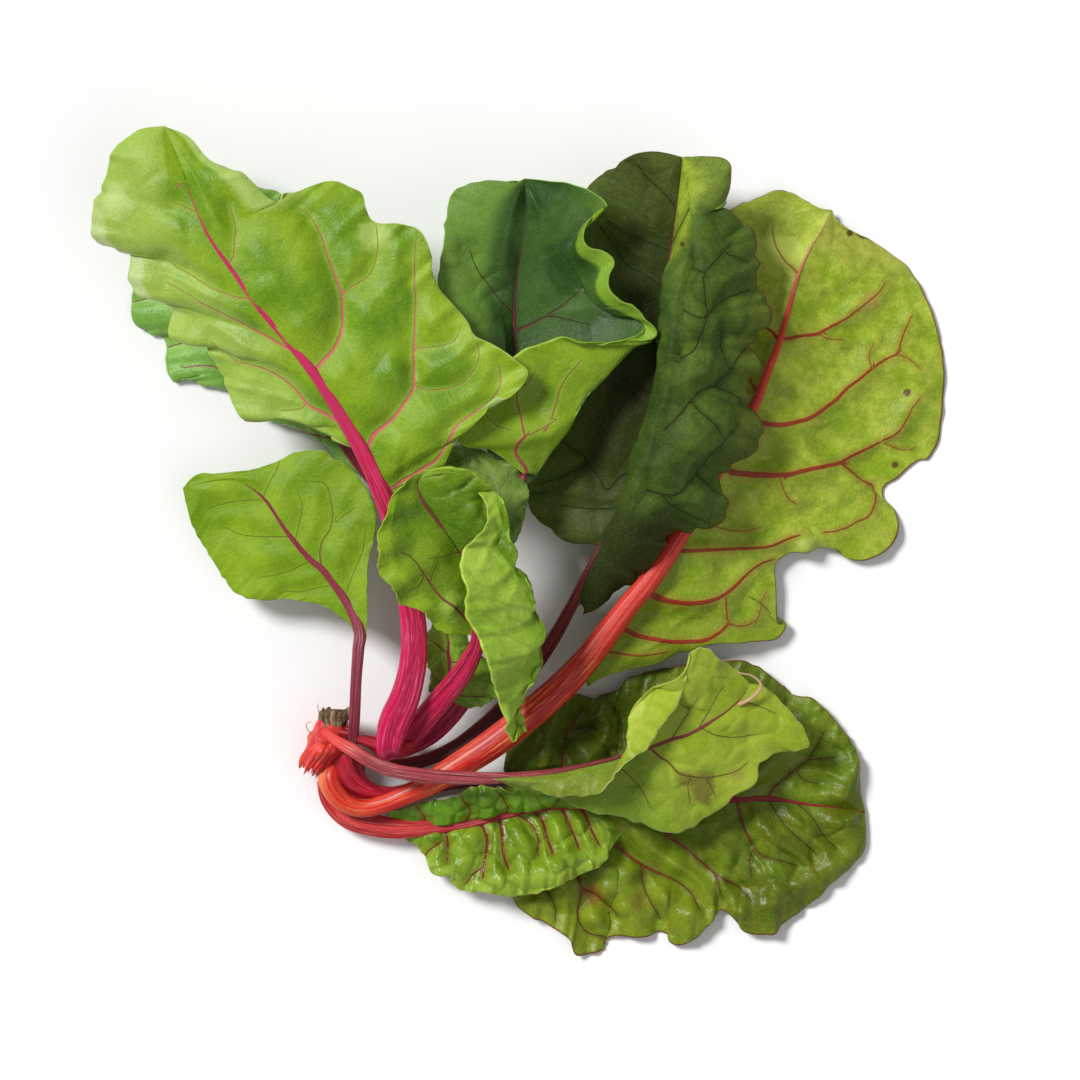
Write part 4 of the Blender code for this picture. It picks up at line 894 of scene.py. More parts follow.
broad_right_leaf = dict(
    join=11, sweep=1.15, rows=210, columns=(44, 60), left_start=0.24, quilt=2.6, swelling=1.1,
    swelling_size=13.0, grain=(12.0, 1.6), waves=6, billow=2.0, scallop=0.25,
    bumps=[(120.9, -1.9, 4, 5), (75.1, -13.3, 7, 2), (91.9, 14, 8, 2), (138.1, 18.2, 8, 2),
           (117.1, 68.6, 9, 2), (150.7, 60.2, 8, -1.5), (133.9, 114.8, 8, 1.5)],
    underside_up=True, base=[(-75.2, -84.3, 6, 6.7), (-79, -92.7, 11, 8.8)],
    stalk=[(-81.1, -99, 14, 9.7), (-78.6, -105.3, 14, 9.2), (-74, -109.9, 14, 8.4),
           (-66.8, -112, 14, 7.6), (-58.4, -110.3, 15, 7.6), (-49.2, -106.5, 16, 8),
           (-39.5, -101.9, 17, 9.7), (-27.8, -94.8, 18, 11.3), (-11, -83.8, 20, 12.6),
           (3.7, -72.1, 21, 12.6), (16.3, -61.2, 22, 12.2), (25.1, -51.9, 22, 11.3),
           (34, -41, 22, 10.5), (44.9, -26.7, 22, 9.2), (54.5, -15, 22, 8.8),
           (68.4, 5.6, 21, 7.1), (82.7, 30.4, 20, 5.5), (97, 54.8, 19, 4.2),
           (104.1, 72.8, 18, 3.4), (109.1, 85.4, 16, 2.7), (112.9, 98.9, 14, 2.1),
           (117.1, 113.1, 11, 1.5), (122.2, 124.5, 8, 1), (126.4, 131.2, 6, 0.6),
           (131.8, 141.3, 4, 0.4)],
    left=[(60, 1.4), (61.7, 6.5), (70.9, 26.6), (80.2, 47.6), (86.9, 68.6), (91.9, 89.6),
          (94, 110.6), (91.1, 127.4), (85.2, 138.3), (93.2, 144.6), (102.4, 147.6),
          (108.3, 149.7), (115.4, 148), (125.5, 142.5)],
    left_heights=[20, 15, 12, 10, 8, 6, 4, 4],
    left_veins=[
        (1.4, 0.6, (109.6, 85.4), (106.6, 88.8), (104.1, 90.9), (100.3, 92.1), (96.1, 93)),
        (0.6, 0.25, (117.5, 113.1), (115.9, 115.7), (112.9, 118.2), (110.4, 121.5),
         (107.9, 126.2), (107, 129.5), (106.6, 134.1)),
        (1.0, 0.4, (89.8, 39.2), (86.9, 47.6), (85.2, 60.2)),
        (1.0, 0.4, (100.3, 62.3), (96.1, 70.7), (92.8, 81.2))],
    right=[(29.8, -55.7), (28.1, -60.3), (35.6, -56.1), (49.9, -52.8), (58.3, -51.1),
           (64.6, -46.9), (71.3, -45.2), (80.6, -41.8), (93.2, -41.8), (108.7, -41.4),
           (113.3, -33), (110, -28.8), (108.3, -17.1), (108.3, -7.8), (117.1, -3.6),
           (130.6, -2.4), (135.6, -5.7), (144, -7.4), (154.5, -3.2), (159.5, 5.2), (158.7, 14),
           (154.5, 23.3), (160.4, 26.6), (168.4, 33.8), (173.4, 35.4), (177.6, 44.7),
           (178.4, 55.6), (179.3, 67.8), (179.3, 78.7), (175.1, 96.8), (170, 107.7),
           (164.2, 117.8), (157, 123.6), (147.4, 129.9), (139.4, 132.9), (133.5, 136.7)],
    right_heights=[20, 15, 11, 9, 7, 6, 3, 1, 0, 1, 2, 3, 4],
    right_veins=[
        (2.3, 0.35, (94.4, 53.1), (97.4, 51.8), (102.4, 50.6), (108.7, 50.1), (115, 51),
         (122.2, 53.1), (127.6, 56.4), (133.9, 61.1), (138.1, 65.7), (143.2, 69.5),
         (148.6, 74.1), (154.1, 77.9), (159.1, 80.4), (161.2, 85.4), (163.3, 91.3),
         (165.8, 96.3)),
        (0.4, 0.25, (159.1, 80.4), (164.2, 78.3), (168.8, 74.1)),
        (2.4, 0.3, (88.6, 30), (96.1, 29.1), (104.5, 28.7), (112.9, 29.1), (119.2, 30.8),
         (127.6, 32.5), (135.2, 34.2), (141.5, 37.5), (147.4, 40.1), (153.2, 43.4),
         (159.1, 46.8), (162.5, 51.8), (165.4, 57.7), (168.4, 61.9)),
        (0.9, 0.5, (136.4, 33.8), (140.2, 31.2), (143.2, 28.7), (146.5, 26.6), (150.3, 24.9),
         (150.7, 20.3), (149, 14.9), (146.5, 11.1), (142.3, 9.4), (138.1, 6.9), (133.1, 5.2),
         (128, 4.8)),
        (0.35, 0.25, (109.1, 28.7), (110.8, 23.3), (112.9, 19.1), (115.9, 17)),
        (0.35, 0.25, (153.2, 43.4), (157.9, 40.9), (162.5, 39.2), (166.7, 40.5)),
        (0.35, 0.25, (148.6, 74.1), (147.4, 79.1), (149, 84.2)),
        (1.5, 0.7, (65, -3.2), (70.9, -3.2), (79.3, -2.8), (89.8, -2.4), (98.2, -1.9),
         (106.6, -0.3), (112.9, 2.3), (117.5, 3.5)),
        (0.35, 0.25, (78.5, 8.1), (84.4, 6.5), (91.1, 5.2), (100.3, 6.5)),
        (2.7, 0.6, (53.3, -20.4), (56.6, -22.5), (61.7, -24.2), (68.8, -25), (77.2, -24.6),
         (84.4, -22.5), (89.8, -18.7), (95.3, -13.3), (100.3, -9.1), (106.2, -6.6)),
        (0.6, 0.35, (86.5, -23.8), (86.9, -28.8), (87.7, -33.4), (91.9, -35.5), (97, -34.7),
         (100.7, -31.3), (102, -25.9), (104.1, -20.4)),
        (2.0, 0.8, (44, -36.4), (49.9, -39.3), (56.2, -40.6), (64.6, -41.4), (73, -41),
         (79.3, -39.7), (84.4, -37.2), (87.3, -34.7)),
        (1.5, 0.35, (109.1, 86.3), (113.8, 86.7), (119.2, 87.9), (125.5, 88.8), (131.8, 92.1),
         (137.3, 95.1), (142.3, 98.9), (146.5, 102.2), (151.6, 106.4), (154.1, 110.6)),
        (0.35, 0.25, (125.5, 88.8), (130.6, 86.7), (136, 86.3)),
        (0.8, 0.4, (35.6, -45.6), (43.6, -46.9), (52, -47.3), (61.7, -45.6))])
grow_leaf(
    "broad_right", broad_right_leaf,
    showing=dict(
        light=(178, 192, 66), dark=(124, 154, 14), vein=(144, 28, 24), rim=(128, 70, 36),
        thin_vein=(150, 80, 48), near=(156, 104, 44), near_share=0.42, net=(112, 122, 26),
        net_share=0.2, raised=1.0, spots=(98, 62, 38), spot_level=0.735, tint=(112, 120, 26),
        tint_share=0.5, patch_size=13.0,
        zones=[("right", whole, (0.84, 1.0), (190, 176, 96), 0.45),
               ("left", whole, (0.0, 0.45), (92, 116, 14), 0.6),
               # the upper part of the left half is painted lighter to offset the shadow that the
               # bronze leaf casts on it
               ("left", whole, (0.5, 1.0), (190, 202, 84), 0.65),
               ("right", whole, (0.0, 0.34), (102, 132, 14), 0.65)],
        marks=[(163.7, 64, 2.2, (92, 60, 30), 0.95), (139.4, 131.6, 1.6, (92, 60, 30), 0.95),
               (158.7, 33.3, 1.6, (92, 60, 30), 0.95), (120.9, -1.1, 8.0, (176, 194, 96), 0.6),
               (147.4, 102.2, 6.0, (196, 160, 84), 0.5),
               (107.9, 124.5, 13.0, (188, 200, 92), 0.6)]),
    hidden=dict(
        light=(110, 150, 40), dark=(85, 125, 30), vein=(165, 45, 35), rim=(150, 60, 40)),
    stalk=dict(
        main=(216, 46, 30), pale=(252, 150, 80), deep=(178, 22, 22), streak=0.8,
        # the bend's outer side has a painted highlight and its inner side painted shade
        rib=(208, 54, 38), outer_highlight=(255, 168, 104), inner=(180, 16, 44), bend_to=-115.0,
        tip=(206, 158, 110), tip_from=176.0))

# ----------------------------------------------------------------------------------------
# Bronze leaf: a dark, puckered blade whose right half bulges up and turns over, on a
# thin maroon stalk.

bronze_leaf = dict(
    join=8, sweep=1.2, rows=200, columns=(44, 60), left_start=0.13, quilt=5.0, swelling=1.0,
    swelling_size=14.0, vein_groove=7.0, left_relief=0.7, frill=1.2, waves=7, scallop=0.5,
    stalk=[(-69.4, -90.6, 4, 4.2), (-61.4, -93.1, 3, 5), (-50.9, -93.9, 3, 5.5),
           (-40.4, -91.8, 3.5, 5.5), (-30.7, -87.6, 4, 5.5), (-21.5, -81.3, 5.5, 5.5),
           (-6.8, -68.3, 9, 6.3), (11.3, -43.9, 14, 5.9), (21.8, -25.5, 18, 5),
           (28.9, -12, 20, 5), (36.5, 1.4, 22, 5), (44, 14, 24, 5), (53.3, 46.8, 27, 3.8),
           (60, 73.2, 28, 2.9), (61.7, 108.9, 28, 2.3), (64.2, 129.9, 28, 1.9),
           (67.1, 152.6, 30, 1.3), (68, 162.3, 32, 1.3)],
    left=[(32.3, 1.4), (25.6, 0.6), (18.4, 1.4), (11.7, 6.9), (5, 12.3), (2.5, 22.8),
          (6.2, 43.4), (14.6, 64.4), (22.6, 85.4), (24.7, 106.4), (23.9, 127.4), (27.2, 149.3),
          (39.4, 158.5), (48.7, 164), (56.6, 164.8)],
    left_heights=[20, 16, 15, 17, 19, 21, 25, 30, 32],
    left_veins=[
        (0.9, 0.3, (49.9, 30.8), (42.4, 28.3), (36.5, 22.4), (33.1, 27.5), (28.1, 33.8),
         (26, 37.1), (21.4, 40.1), (16.3, 44.3), (11.3, 47.6)),
        (0.6, 0.3, (28.1, 33.8), (22.6, 30.8), (16.3, 27.9), (7.9, 24.9)),
        (0.6, 0.3, (41.5, 14.9), (34, 14.4), (24.7, 14.9), (17.2, 16.1)),
        (0.7, 0.3, (56.2, 62.3), (47.8, 66.5), (38.2, 72), (28.9, 76.2)),
        (0.5, 0.3, (61.3, 106.4), (56.2, 110.2), (49.9, 114.4), (43.6, 118.2), (38.2, 126.6),
         (33.1, 133.3)),
        (0.5, 0.3, (62.9, 123.2), (56.2, 125.7), (49.9, 128.3), (42.4, 131.6), (36.5, 135.8)),
        (0.5, 0.25, (64.6, 142.1), (59.2, 148.4), (53.3, 153.5), (49.9, 158.5))],
    right=[(26, -30.1), (33.1, -26.7), (42.4, -17.9), (48.2, -16.6), (48.7, -12.9),
           (56.2, -1.5), (60, 4.8), (73.9, 6), (81, 9), (85.2, 15.7), (84.4, 27.5),
           (95.7, 37.5), (98.6, 48), (97, 53.9), (94.4, 66.5), (98.6, 75.8), (94.4, 82.5),
           (99.1, 89.6), (103.7, 93), (104.5, 98.9), (99.1, 110.2), (98.2, 127.4),
           (92.3, 134.6), (84.4, 139.2), (81.4, 144.6), (85.2, 150.5), (87.7, 157.7),
           (84.4, 161.4), (75.1, 162.3)],
    right_heights=[18, 20, 30, 32, 30, 32, 32, 31, 34, 36, 32],
    right_fold=[(26, -26.3), (33.1, -15.4), (42.4, -1.9), (49.9, 14), (59.2, 43.4), (65, 68.6),
                (68.4, 98), (72.6, 121.1), (72.6, 140), (70.9, 152.6)],
    right_fold_heights=[19, 30, 44, 50, 51, 50, 46, 38, 34],
    right_veins=[
        (0.6, 0.3, (62.1, 123.2), (65.5, 129.5), (69.2, 137.9), (72.6, 145.9))],
    right_turned_veins=[
        (0.8, 0.4, (58.3, 72.8), (66.7, 77), (71.8, 80.4), (75.1, 87.5), (77.6, 94.2),
         (77.2, 100.1), (76.4, 106.4), (76.8, 112.7), (81.4, 118.2), (84.4, 121.5),
         (87.7, 125.7)),
        (0.6, 0.3, (77.6, 94.2), (73.9, 94.2), (70.1, 96.3), (65, 99.7)),
        (0.6, 0.3, (77.6, 94.2), (81.4, 98.9), (85.6, 102.2), (91.1, 104.7), (96.1, 106.4)),
        (1.0, 0.4, (55, 42.6), (61.7, 48.5), (66.7, 53.9), (70.9, 59.4), (75.1, 63.6),
         (80.2, 65.7), (82.7, 68.2), (86.9, 72.4), (90.2, 77.4), (94.4, 83.7), (99.1, 89.6)),
        (0.5, 0.3, (76.8, 112.7), (71.8, 115.7), (68.4, 118.2)),
        (0.5, 0.3, (84.4, 121.5), (89.8, 119.9), (94.9, 118.2)),
        (0.5, 0.3, (80.2, 65.7), (85.6, 63.6), (91.1, 60.2), (95.3, 55.2)),
        (1.0, 0.4, (46.6, 24.9), (52, 22.8), (58.3, 21.2), (64.6, 20.7), (69.2, 24.5),
         (73, 28.7), (76.8, 32.9), (80.2, 37.1), (84.4, 43.4), (89, 50.1)),
        (0.5, 0.3, (70.9, 59.4), (75.1, 53.9), (80.2, 49.7), (83.5, 45.1)),
        (0.5, 0.3, (58.3, 21.2), (63.4, 16.1), (70.9, 12.3), (77.6, 9.8)),
        (0.5, 0.3, (86.9, 72.4), (84.4, 77.9), (82.7, 83.3), (84.4, 89.6)),
        (0.5, 0.3, (73, 28.7), (77.6, 25.8), (81.8, 20.7))])
grow_leaf(
    "bronze", bronze_leaf,
    showing=dict(
        light=(88, 114, 38), dark=(48, 70, 18), vein=(50, 44, 20), rim=(112, 74, 36),
        # crease colour: painted shade in the creases between the swellings
        vein_width=0.8, thin_vein=(42, 52, 18), crease=(44, 62, 18), crease_shade_share=0.25,
        near=(36, 50, 14), net=(44, 62, 20), net_share=0.3, roughness=0.6, gloss=0.14, sheen=0.0,
        near_share=0.4,
        zones=[("left", whole, whole, (80, 84, 38), 0.6),
               # painted shadow of the bulging right half, in the valley beside the midrib
               ("left", (0.0, 0.6), (0.05, 0.95), (34, 28, 14), 0.8),
               ("right", whole, (0.0, 0.3), (40, 38, 16), 0.9),
               ("right", whole, (0.86, 1.01), (132, 152, 58), 0.75),
               # painted light: the yellow-green strip right of the midrib near the tip, where
               # light shows through the blade
               ("right", (0.0, 0.99), (0.6, 1.01), (158, 180, 50), 0.95, 2.6),
               ("right", (0.86, 1.01), (0.3, 0.8), (104, 118, 36), 0.6),
               ("right", (0.0, 0.62), (0.2, 0.62), (42, 60, 16), 0.55)],
        marks=[(67.6, 125.3, 1.8, (72, 44, 16), 0.95), (70.9, 80.4, 5.0, (110, 132, 40), 0.5),
               (89.8, 102.2, 5.0, (104, 126, 38), 0.4)]),
    hidden=dict(
        light=(130, 160, 50), dark=(105, 135, 40), vein=(140, 60, 60), rim=(130, 90, 50),
        raised=1.0),
    stalk=dict(
        main=(128, 18, 22), pale=(160, 58, 46), deep=(70, 6, 10), streak=0.35, rib=(92, 28, 24)))

# ----------------------------------------------------------------------------------------
# Cupped leaf: deep green inside, its near half folded over to show the paler underside. It
# stands on a magenta stalk from the crown's arm.

cupped_leaf = dict(
    join=8, sweep=1.0, rows=180, columns=(44, 64), relax=150, quilt=4.2, swelling=0.9,
    swelling_size=15.0, vein_groove=8.0, billow=1.8, frill=0.6, right_relief=0.6,
    base=[(-59.3, -87.6, 8, 4.2), (-53.8, -88.5, 8, 5)],
    stalk=[(-47.5, -86.8, 8, 5.9), (-38.3, -81.7, 10, 6.7), (-31.1, -75, 13, 7.1),
           (-24.8, -67, 16, 7.1), (-19.4, -58.2, 20, 6.3), (-11.4, -46.9, 24, 5.5),
           (-8.9, -23.8, 30, 4.2), (-5.5, -0.7, 35, 3.8), (-0.5, 22.4, 38, 3.8),
           (0.8, 39.2, 38, 3.4), (-0.9, 60.2, 37, 2.9), (-2.6, 79.1, 36, 2.3),
           (-3, 95.9, 37, 1.9), (-1.7, 114.8, 41, 1.3), (1.6, 135, 45.5, 0.8),
           (1.6, 152.6, 47, 0.5)],
    left=[(-3, 27), (-13.1, 37.1), (-23.6, 56), (-29, 77), (-34.9, 102.2), (-33.2, 127.4),
          (-30.7, 140.4), (-27.4, 147.6), (-19.8, 150.9), (-13.1, 151.8), (-2.6, 150.9)],
    left_heights=[37.4, 42, 46, 47, 48, 50, 47],
    left_veins=[
        (0.6, 0.25, (-2.6, 95.5), (-6.8, 99.7), (-11, 104.7), (-15.2, 110.2), (-19, 115.7),
         (-21.5, 122.4))],
    right=[(1.2, 29.1), (-13.1, 39.2), (-26.9, 43), (-21.5, 60.2), (-4.3, 77.4), (10, 83.3),
           (29.3, 81.6), (39.8, 84.6), (56.2, 86.7), (48.2, 100.1), (42.4, 103.1),
           (36.9, 108.5), (39.4, 117.3), (36.1, 122), (29.3, 125.7), (30.2, 131.6),
           (37.7, 140.4), (26.4, 148.8), (10, 151.8)],
    right_heights=[43, 50, 53, 54, 54, 52, 54, 52, 50, 47],
    right_fold=[(6.2, 28.3), (16.3, 43.4), (28.1, 58.1), (35.6, 66.9), (46.1, 79.1), (55, 84.6),
                (49.9, 94.7), (33.1, 102.2), (21.4, 119), (16.3, 133.7), (7.9, 146.3)],
    right_fold_heights=[38, 45, 46, 47, 48, 46, 40, 42, 45, 47],
    right_veins=[
        (1.0, 0.3, (-1.7, 89.6), (3.7, 91.7), (10, 95.1), (15.5, 98.4), (20.5, 102.2),
         (24.7, 106.4), (28.1, 110.6)),
        (0.4, 0.25, (10, 95.1), (16.3, 94.7), (22.6, 93), (28.9, 91.7))],
    right_turned_veins=[
        (1.6, 1.0, (3.3, 26.6), (2.5, 29.1), (1.2, 32.5), (-1.3, 35.9), (-2.6, 39.2),
         (-1.3, 42.2), (1.6, 44.7)),
        (0.8, 0.35, (1.6, 44.7), (0.4, 49.7), (-0.5, 56), (-1.7, 59.4), (-0.9, 63.6),
         (2.9, 66.5), (5.8, 72)),
        (0.7, 0.3, (10.4, 47.6), (13.4, 53.9), (15.5, 61.1), (17.2, 66.5), (19.7, 70.7),
         (24.7, 76.2)),
        (0.5, 0.3, (1.6, 44.7), (7.9, 47.6), (14.6, 51.4)),
        (0.35, 0.22, (-8, 66.9), (-13.1, 63.2), (-15.2, 56), (-11, 49.7), (-4.7, 47.6))])
grow_leaf(
    "cupped", cupped_leaf,
    showing=dict(
        light=(66, 100, 34), dark=(42, 72, 24), vein=(98, 34, 38), rim=(124, 162, 50),
        thin_vein=(70, 62, 34), net=(74, 108, 40), net_share=0.14, roughness=0.5, near_share=0.0,
        gloss=0.26, sheen=0.0,
        zones=[("left", (0.3, 1.0), (0.05, 1.0), (118, 156, 58), 0.85),
               ("right", (0.84, 1.0), (0.3, 0.93), (140, 178, 50), 0.95)]),
    hidden=dict(
        light=(134, 164, 28), dark=(106, 140, 12), vein=(170, 60, 70), rim=(160, 188, 60),
        raised=1.0, net=(150, 178, 50), net_share=0.2, thin_vein=(150, 110, 60),
        near=(160, 184, 80)),
    stalk=dict(
        main=(180, 20, 74), pale=(235, 110, 150), deep=(120, 8, 42), streak=0.6,
        rib=(96, 36, 50), rib_from=10.0, tip=(70, 86, 42), tip_from=88.0))

# ----------------------------------------------------------------------------------------
# Tucked leaf: a small dark blade seen in the gap between the folded front leaf and the
# cupped one. Its pale stalk begins beside the cupped leaf's.

tucked_leaf = dict(
    join=2, sweep=1.2, rows=70, columns=(16, 16), fine=0.3, quilt=1.8, swelling=1.4,
    swelling_size=6.0, ruffle=2.0,
    stalk=[(-8.9, -35.5, 31.5, 2.9), (-9.3, -23.8, 36, 2.9), (-10.1, -8.2, 40, 2.5),
           (-9.7, 3.5, 42, 2.1), (-8.9, 18.2, 43, 1.7), (-13.9, 31.7, 43, 1.5),
           (-24.8, 41.3, 42, 1.3)],
    left=[(-17.3, -5.3), (-23.2, 5.6), (-29, 18.2), (-34.1, 30), (-34.1, 39.2)],
    left_heights=[42, 44, 45, 45, 43, 42],
    left_veins=[
        (0.4, 0.22, (-9.7, 3.5), (-17.3, 9.8), (-24, 14.9)),
        (0.4, 0.22, (-12.2, 26.6), (-19.4, 30.8), (-27.8, 34.2))],
    right=[(-4.7, -3.6), (-0.9, 3.5), (2, 13.2), (2.5, 24.5), (-3.8, 33.3), (-13.1, 38)],
    right_heights=[42, 42, 41, 41, 42, 43, 42],
    right_veins=[
        (0.4, 0.22, (-9.7, 5.6), (-5.5, 11.9), (-2.6, 18.2)),
        (0.4, 0.22, (-10.6, 20.3), (-6.4, 25.8), (-4.7, 30))])
grow_leaf(
    "tucked", tucked_leaf,
    showing=dict(
        light=(124, 150, 62), dark=(84, 112, 38), vein=(110, 140, 70), rim=(120, 150, 70)),
    hidden=dict(
        light=(110, 150, 70), dark=(90, 130, 50), vein=(150, 180, 110), rim=(130, 160, 90),
        raised=1.0),
    stalk=dict(
        main=(130, 155, 85), pale=(170, 190, 120), deep=(90, 110, 60)))

# ----------------------------------------------------------------------------------------
# Baby leaf: the smallest leaf, soft and curled, on a thin stalk of its own between the
# magenta ones.

baby_leaf = dict(
    join=2, sweep=1.2, rows=90, columns=(20, 20), fine=0.3, quilt=2.2, swelling=1.6, ruffle=2.6,
    waves=3, frill=1.6,
    stalk=[(-39.1, -77.5, 15, 3.4), (-35.3, -70.8, 19, 3.4), (-31.1, -65.8, 23, 2.9),
           (-29.9, -57.4, 27, 2.5), (-30.3, -46.9, 30, 2.1), (-30.7, -38.5, 33, 1.5),
           (-34.1, -30.1, 36, 1.3)],
    left=[(-34.1, -65.8), (-38.3, -61.6), (-38.3, -54), (-40, -46.9), (-39.1, -37.2)],
    left_heights=[23, 25, 28, 30, 33, 36],
    left_veins=[
        (0.5, 0.3, (-29.9, -61.6), (-34.1, -58.2), (-37.9, -55.7)),
        (0.5, 0.3, (-30.3, -46.9), (-34.1, -43.9), (-38.3, -40.6))],
    right=[(-27.4, -67.5), (-18.1, -69.1), (-12.2, -65.8), (-8.9, -60.7), (-12.2, -52.3),
           (-19, -44.8), (-24.8, -36.4)],
    right_heights=[23, 26, 28, 30, 31, 34, 36],
    right_veins=[
        (0.6, 0.3, (-30.3, -62.4), (-23.6, -64.1), (-15.2, -64.5)),
        (0.5, 0.3, (-30.3, -49.8), (-24.8, -49.8), (-19, -48.1))])
grow_leaf(
    "baby", baby_leaf,
    showing=dict(
        light=(144, 178, 56), dark=(76, 114, 24), vein=(120, 50, 60), rim=(150, 182, 80),
        net_share=0.1, roughness=0.3,
        zones=[("left", (0.2, 1.0), (0.5, 1.0), (150, 180, 66), 0.7)]),
    hidden=dict(
        light=(120, 160, 60), dark=(100, 145, 50), vein=(160, 70, 80), rim=(150, 180, 90),
        raised=1.0),
    stalk=dict(
        main=(170, 50, 80), pale=(215, 120, 140), deep=(110, 20, 45)))

# ----------------------------------------------------------------------------------------
# Small left leaf: a smooth oval blade on a thin purple stalk that rises from the crown. The
# blade slopes down from it towards the table.

small_left_leaf = dict(
    join=4, sweep=1.5, rows=120, columns=(34, 34), quilt=1.6, swelling=0.4, swelling_size=13.0,
    fine=0.1, vein_groove=6.0, ruffle=0.8, frill=0.3,
    stalk=[(-71, -84.3, 22, 4.2), (-70.2, -74.2, 28, 4.6), (-69.4, -57.4, 31, 4.6),
           (-68.5, -44.8, 31, 5), (-68.1, -36.4, 30, 5), (-73.6, -24.6, 29, 3.8),
           (-82.8, -12, 28, 2.9), (-89.5, -6.1, 27, 2.5), (-98.3, 4.4, 26, 2),
           (-108, 18.6, 24, 1.4), (-118.1, 25.8, 22, 0.8), (-128.6, 26.6, 20, 0.5),
           (-142.9, 23.3, 16, 0.4)],
    left=[(-69.8, -38.9), (-73.6, -31.8), (-81.1, -27.1), (-88.3, -24.6), (-98.3, -23.4),
          (-108, -24.2), (-118.1, -22.1), (-124, -17.5), (-130.3, -6.6), (-137.4, 5.2),
          (-141.2, 16.1)],
    left_heights=[29, 24, 18, 14, 13, 16],
    left_veins=[
        (0.5, 0.22, (-97.1, 2.7), (-103.4, 2.7), (-108.8, 2.7), (-114.7, 3.1), (-120.2, 4.4),
         (-124, 6.5)),
        (0.5, 0.22, (-88.3, -7.4), (-92.9, -9.5), (-97.1, -11.6), (-103.4, -13.3),
         (-110.5, -14.5)),
        (0.35, 0.2, (-79, -17.9), (-85.3, -18.7), (-92.9, -20.4), (-99.2, -20.4)),
        (0.3, 0.2, (-108.8, 18.2), (-116, 18.2), (-124.4, 17), (-131.5, 14.9))],
    right=[(-67.7, -55.7), (-66, -44.8), (-65.2, -37.2), (-64.7, -20), (-64.3, -7), (-61, 5.6),
           (-61.4, 14.9), (-63.9, 21.2), (-69.8, 30), (-79.9, 36.7), (-83.2, 38.8),
           (-94.6, 38.4), (-103, 34.6), (-113, 31.2), (-126.5, 29.6), (-137, 29.1)],
    right_heights=[29, 32, 32, 30, 26, 22, 16],
    right_veins=[
        (0.8, 0.3, (-84.1, -9.5), (-84.5, -3.6), (-83.2, 1.4), (-80.3, 5.6), (-79, 11.9),
         (-79.9, 18.2), (-81.1, 23.3), (-83.6, 25.8), (-87.8, 25.8)),
        (0.45, 0.25, (-108.8, 19.1), (-106.3, 24.5), (-103.4, 30), (-101.7, 34.6)),
        (0.35, 0.2, (-74, -22.9), (-71, -13.3), (-66.8, -3.6), (-65.2, 5.6)),
        (0.3, 0.2, (-79, 7.7), (-74, 11.9), (-69.8, 14.9)),
        (0.3, 0.2, (-95, 1.4), (-92.9, 9.8), (-92, 16.1), (-93.7, 21.6))])
grow_leaf(
    "small_left", small_left_leaf,
    showing=dict(
        light=(136, 166, 26), dark=(104, 140, 10), vein=(128, 70, 52), rim=(160, 186, 84),
        thin_vein=(116, 136, 34), near=(150, 180, 60), net=(154, 182, 64), net_share=0.12,
        roughness=0.5, gloss=0.2, vein_width=0.75, near_share=0.12),
    hidden=dict(
        light=(140, 175, 80), dark=(120, 160, 60), vein=(150, 80, 90), rim=(165, 195, 110),
        raised=1.0),
    stalk=dict(
        main=(148, 44, 70), pale=(205, 115, 130), deep=(100, 30, 40), streak=0.6,
        rib=(135, 45, 60)))

# ----------------------------------------------------------------------------------------
# Tall left leaf: the longest leaf, a light yellow-green blade with soft quilting and a
# magenta midrib, on the thick magenta stalk.

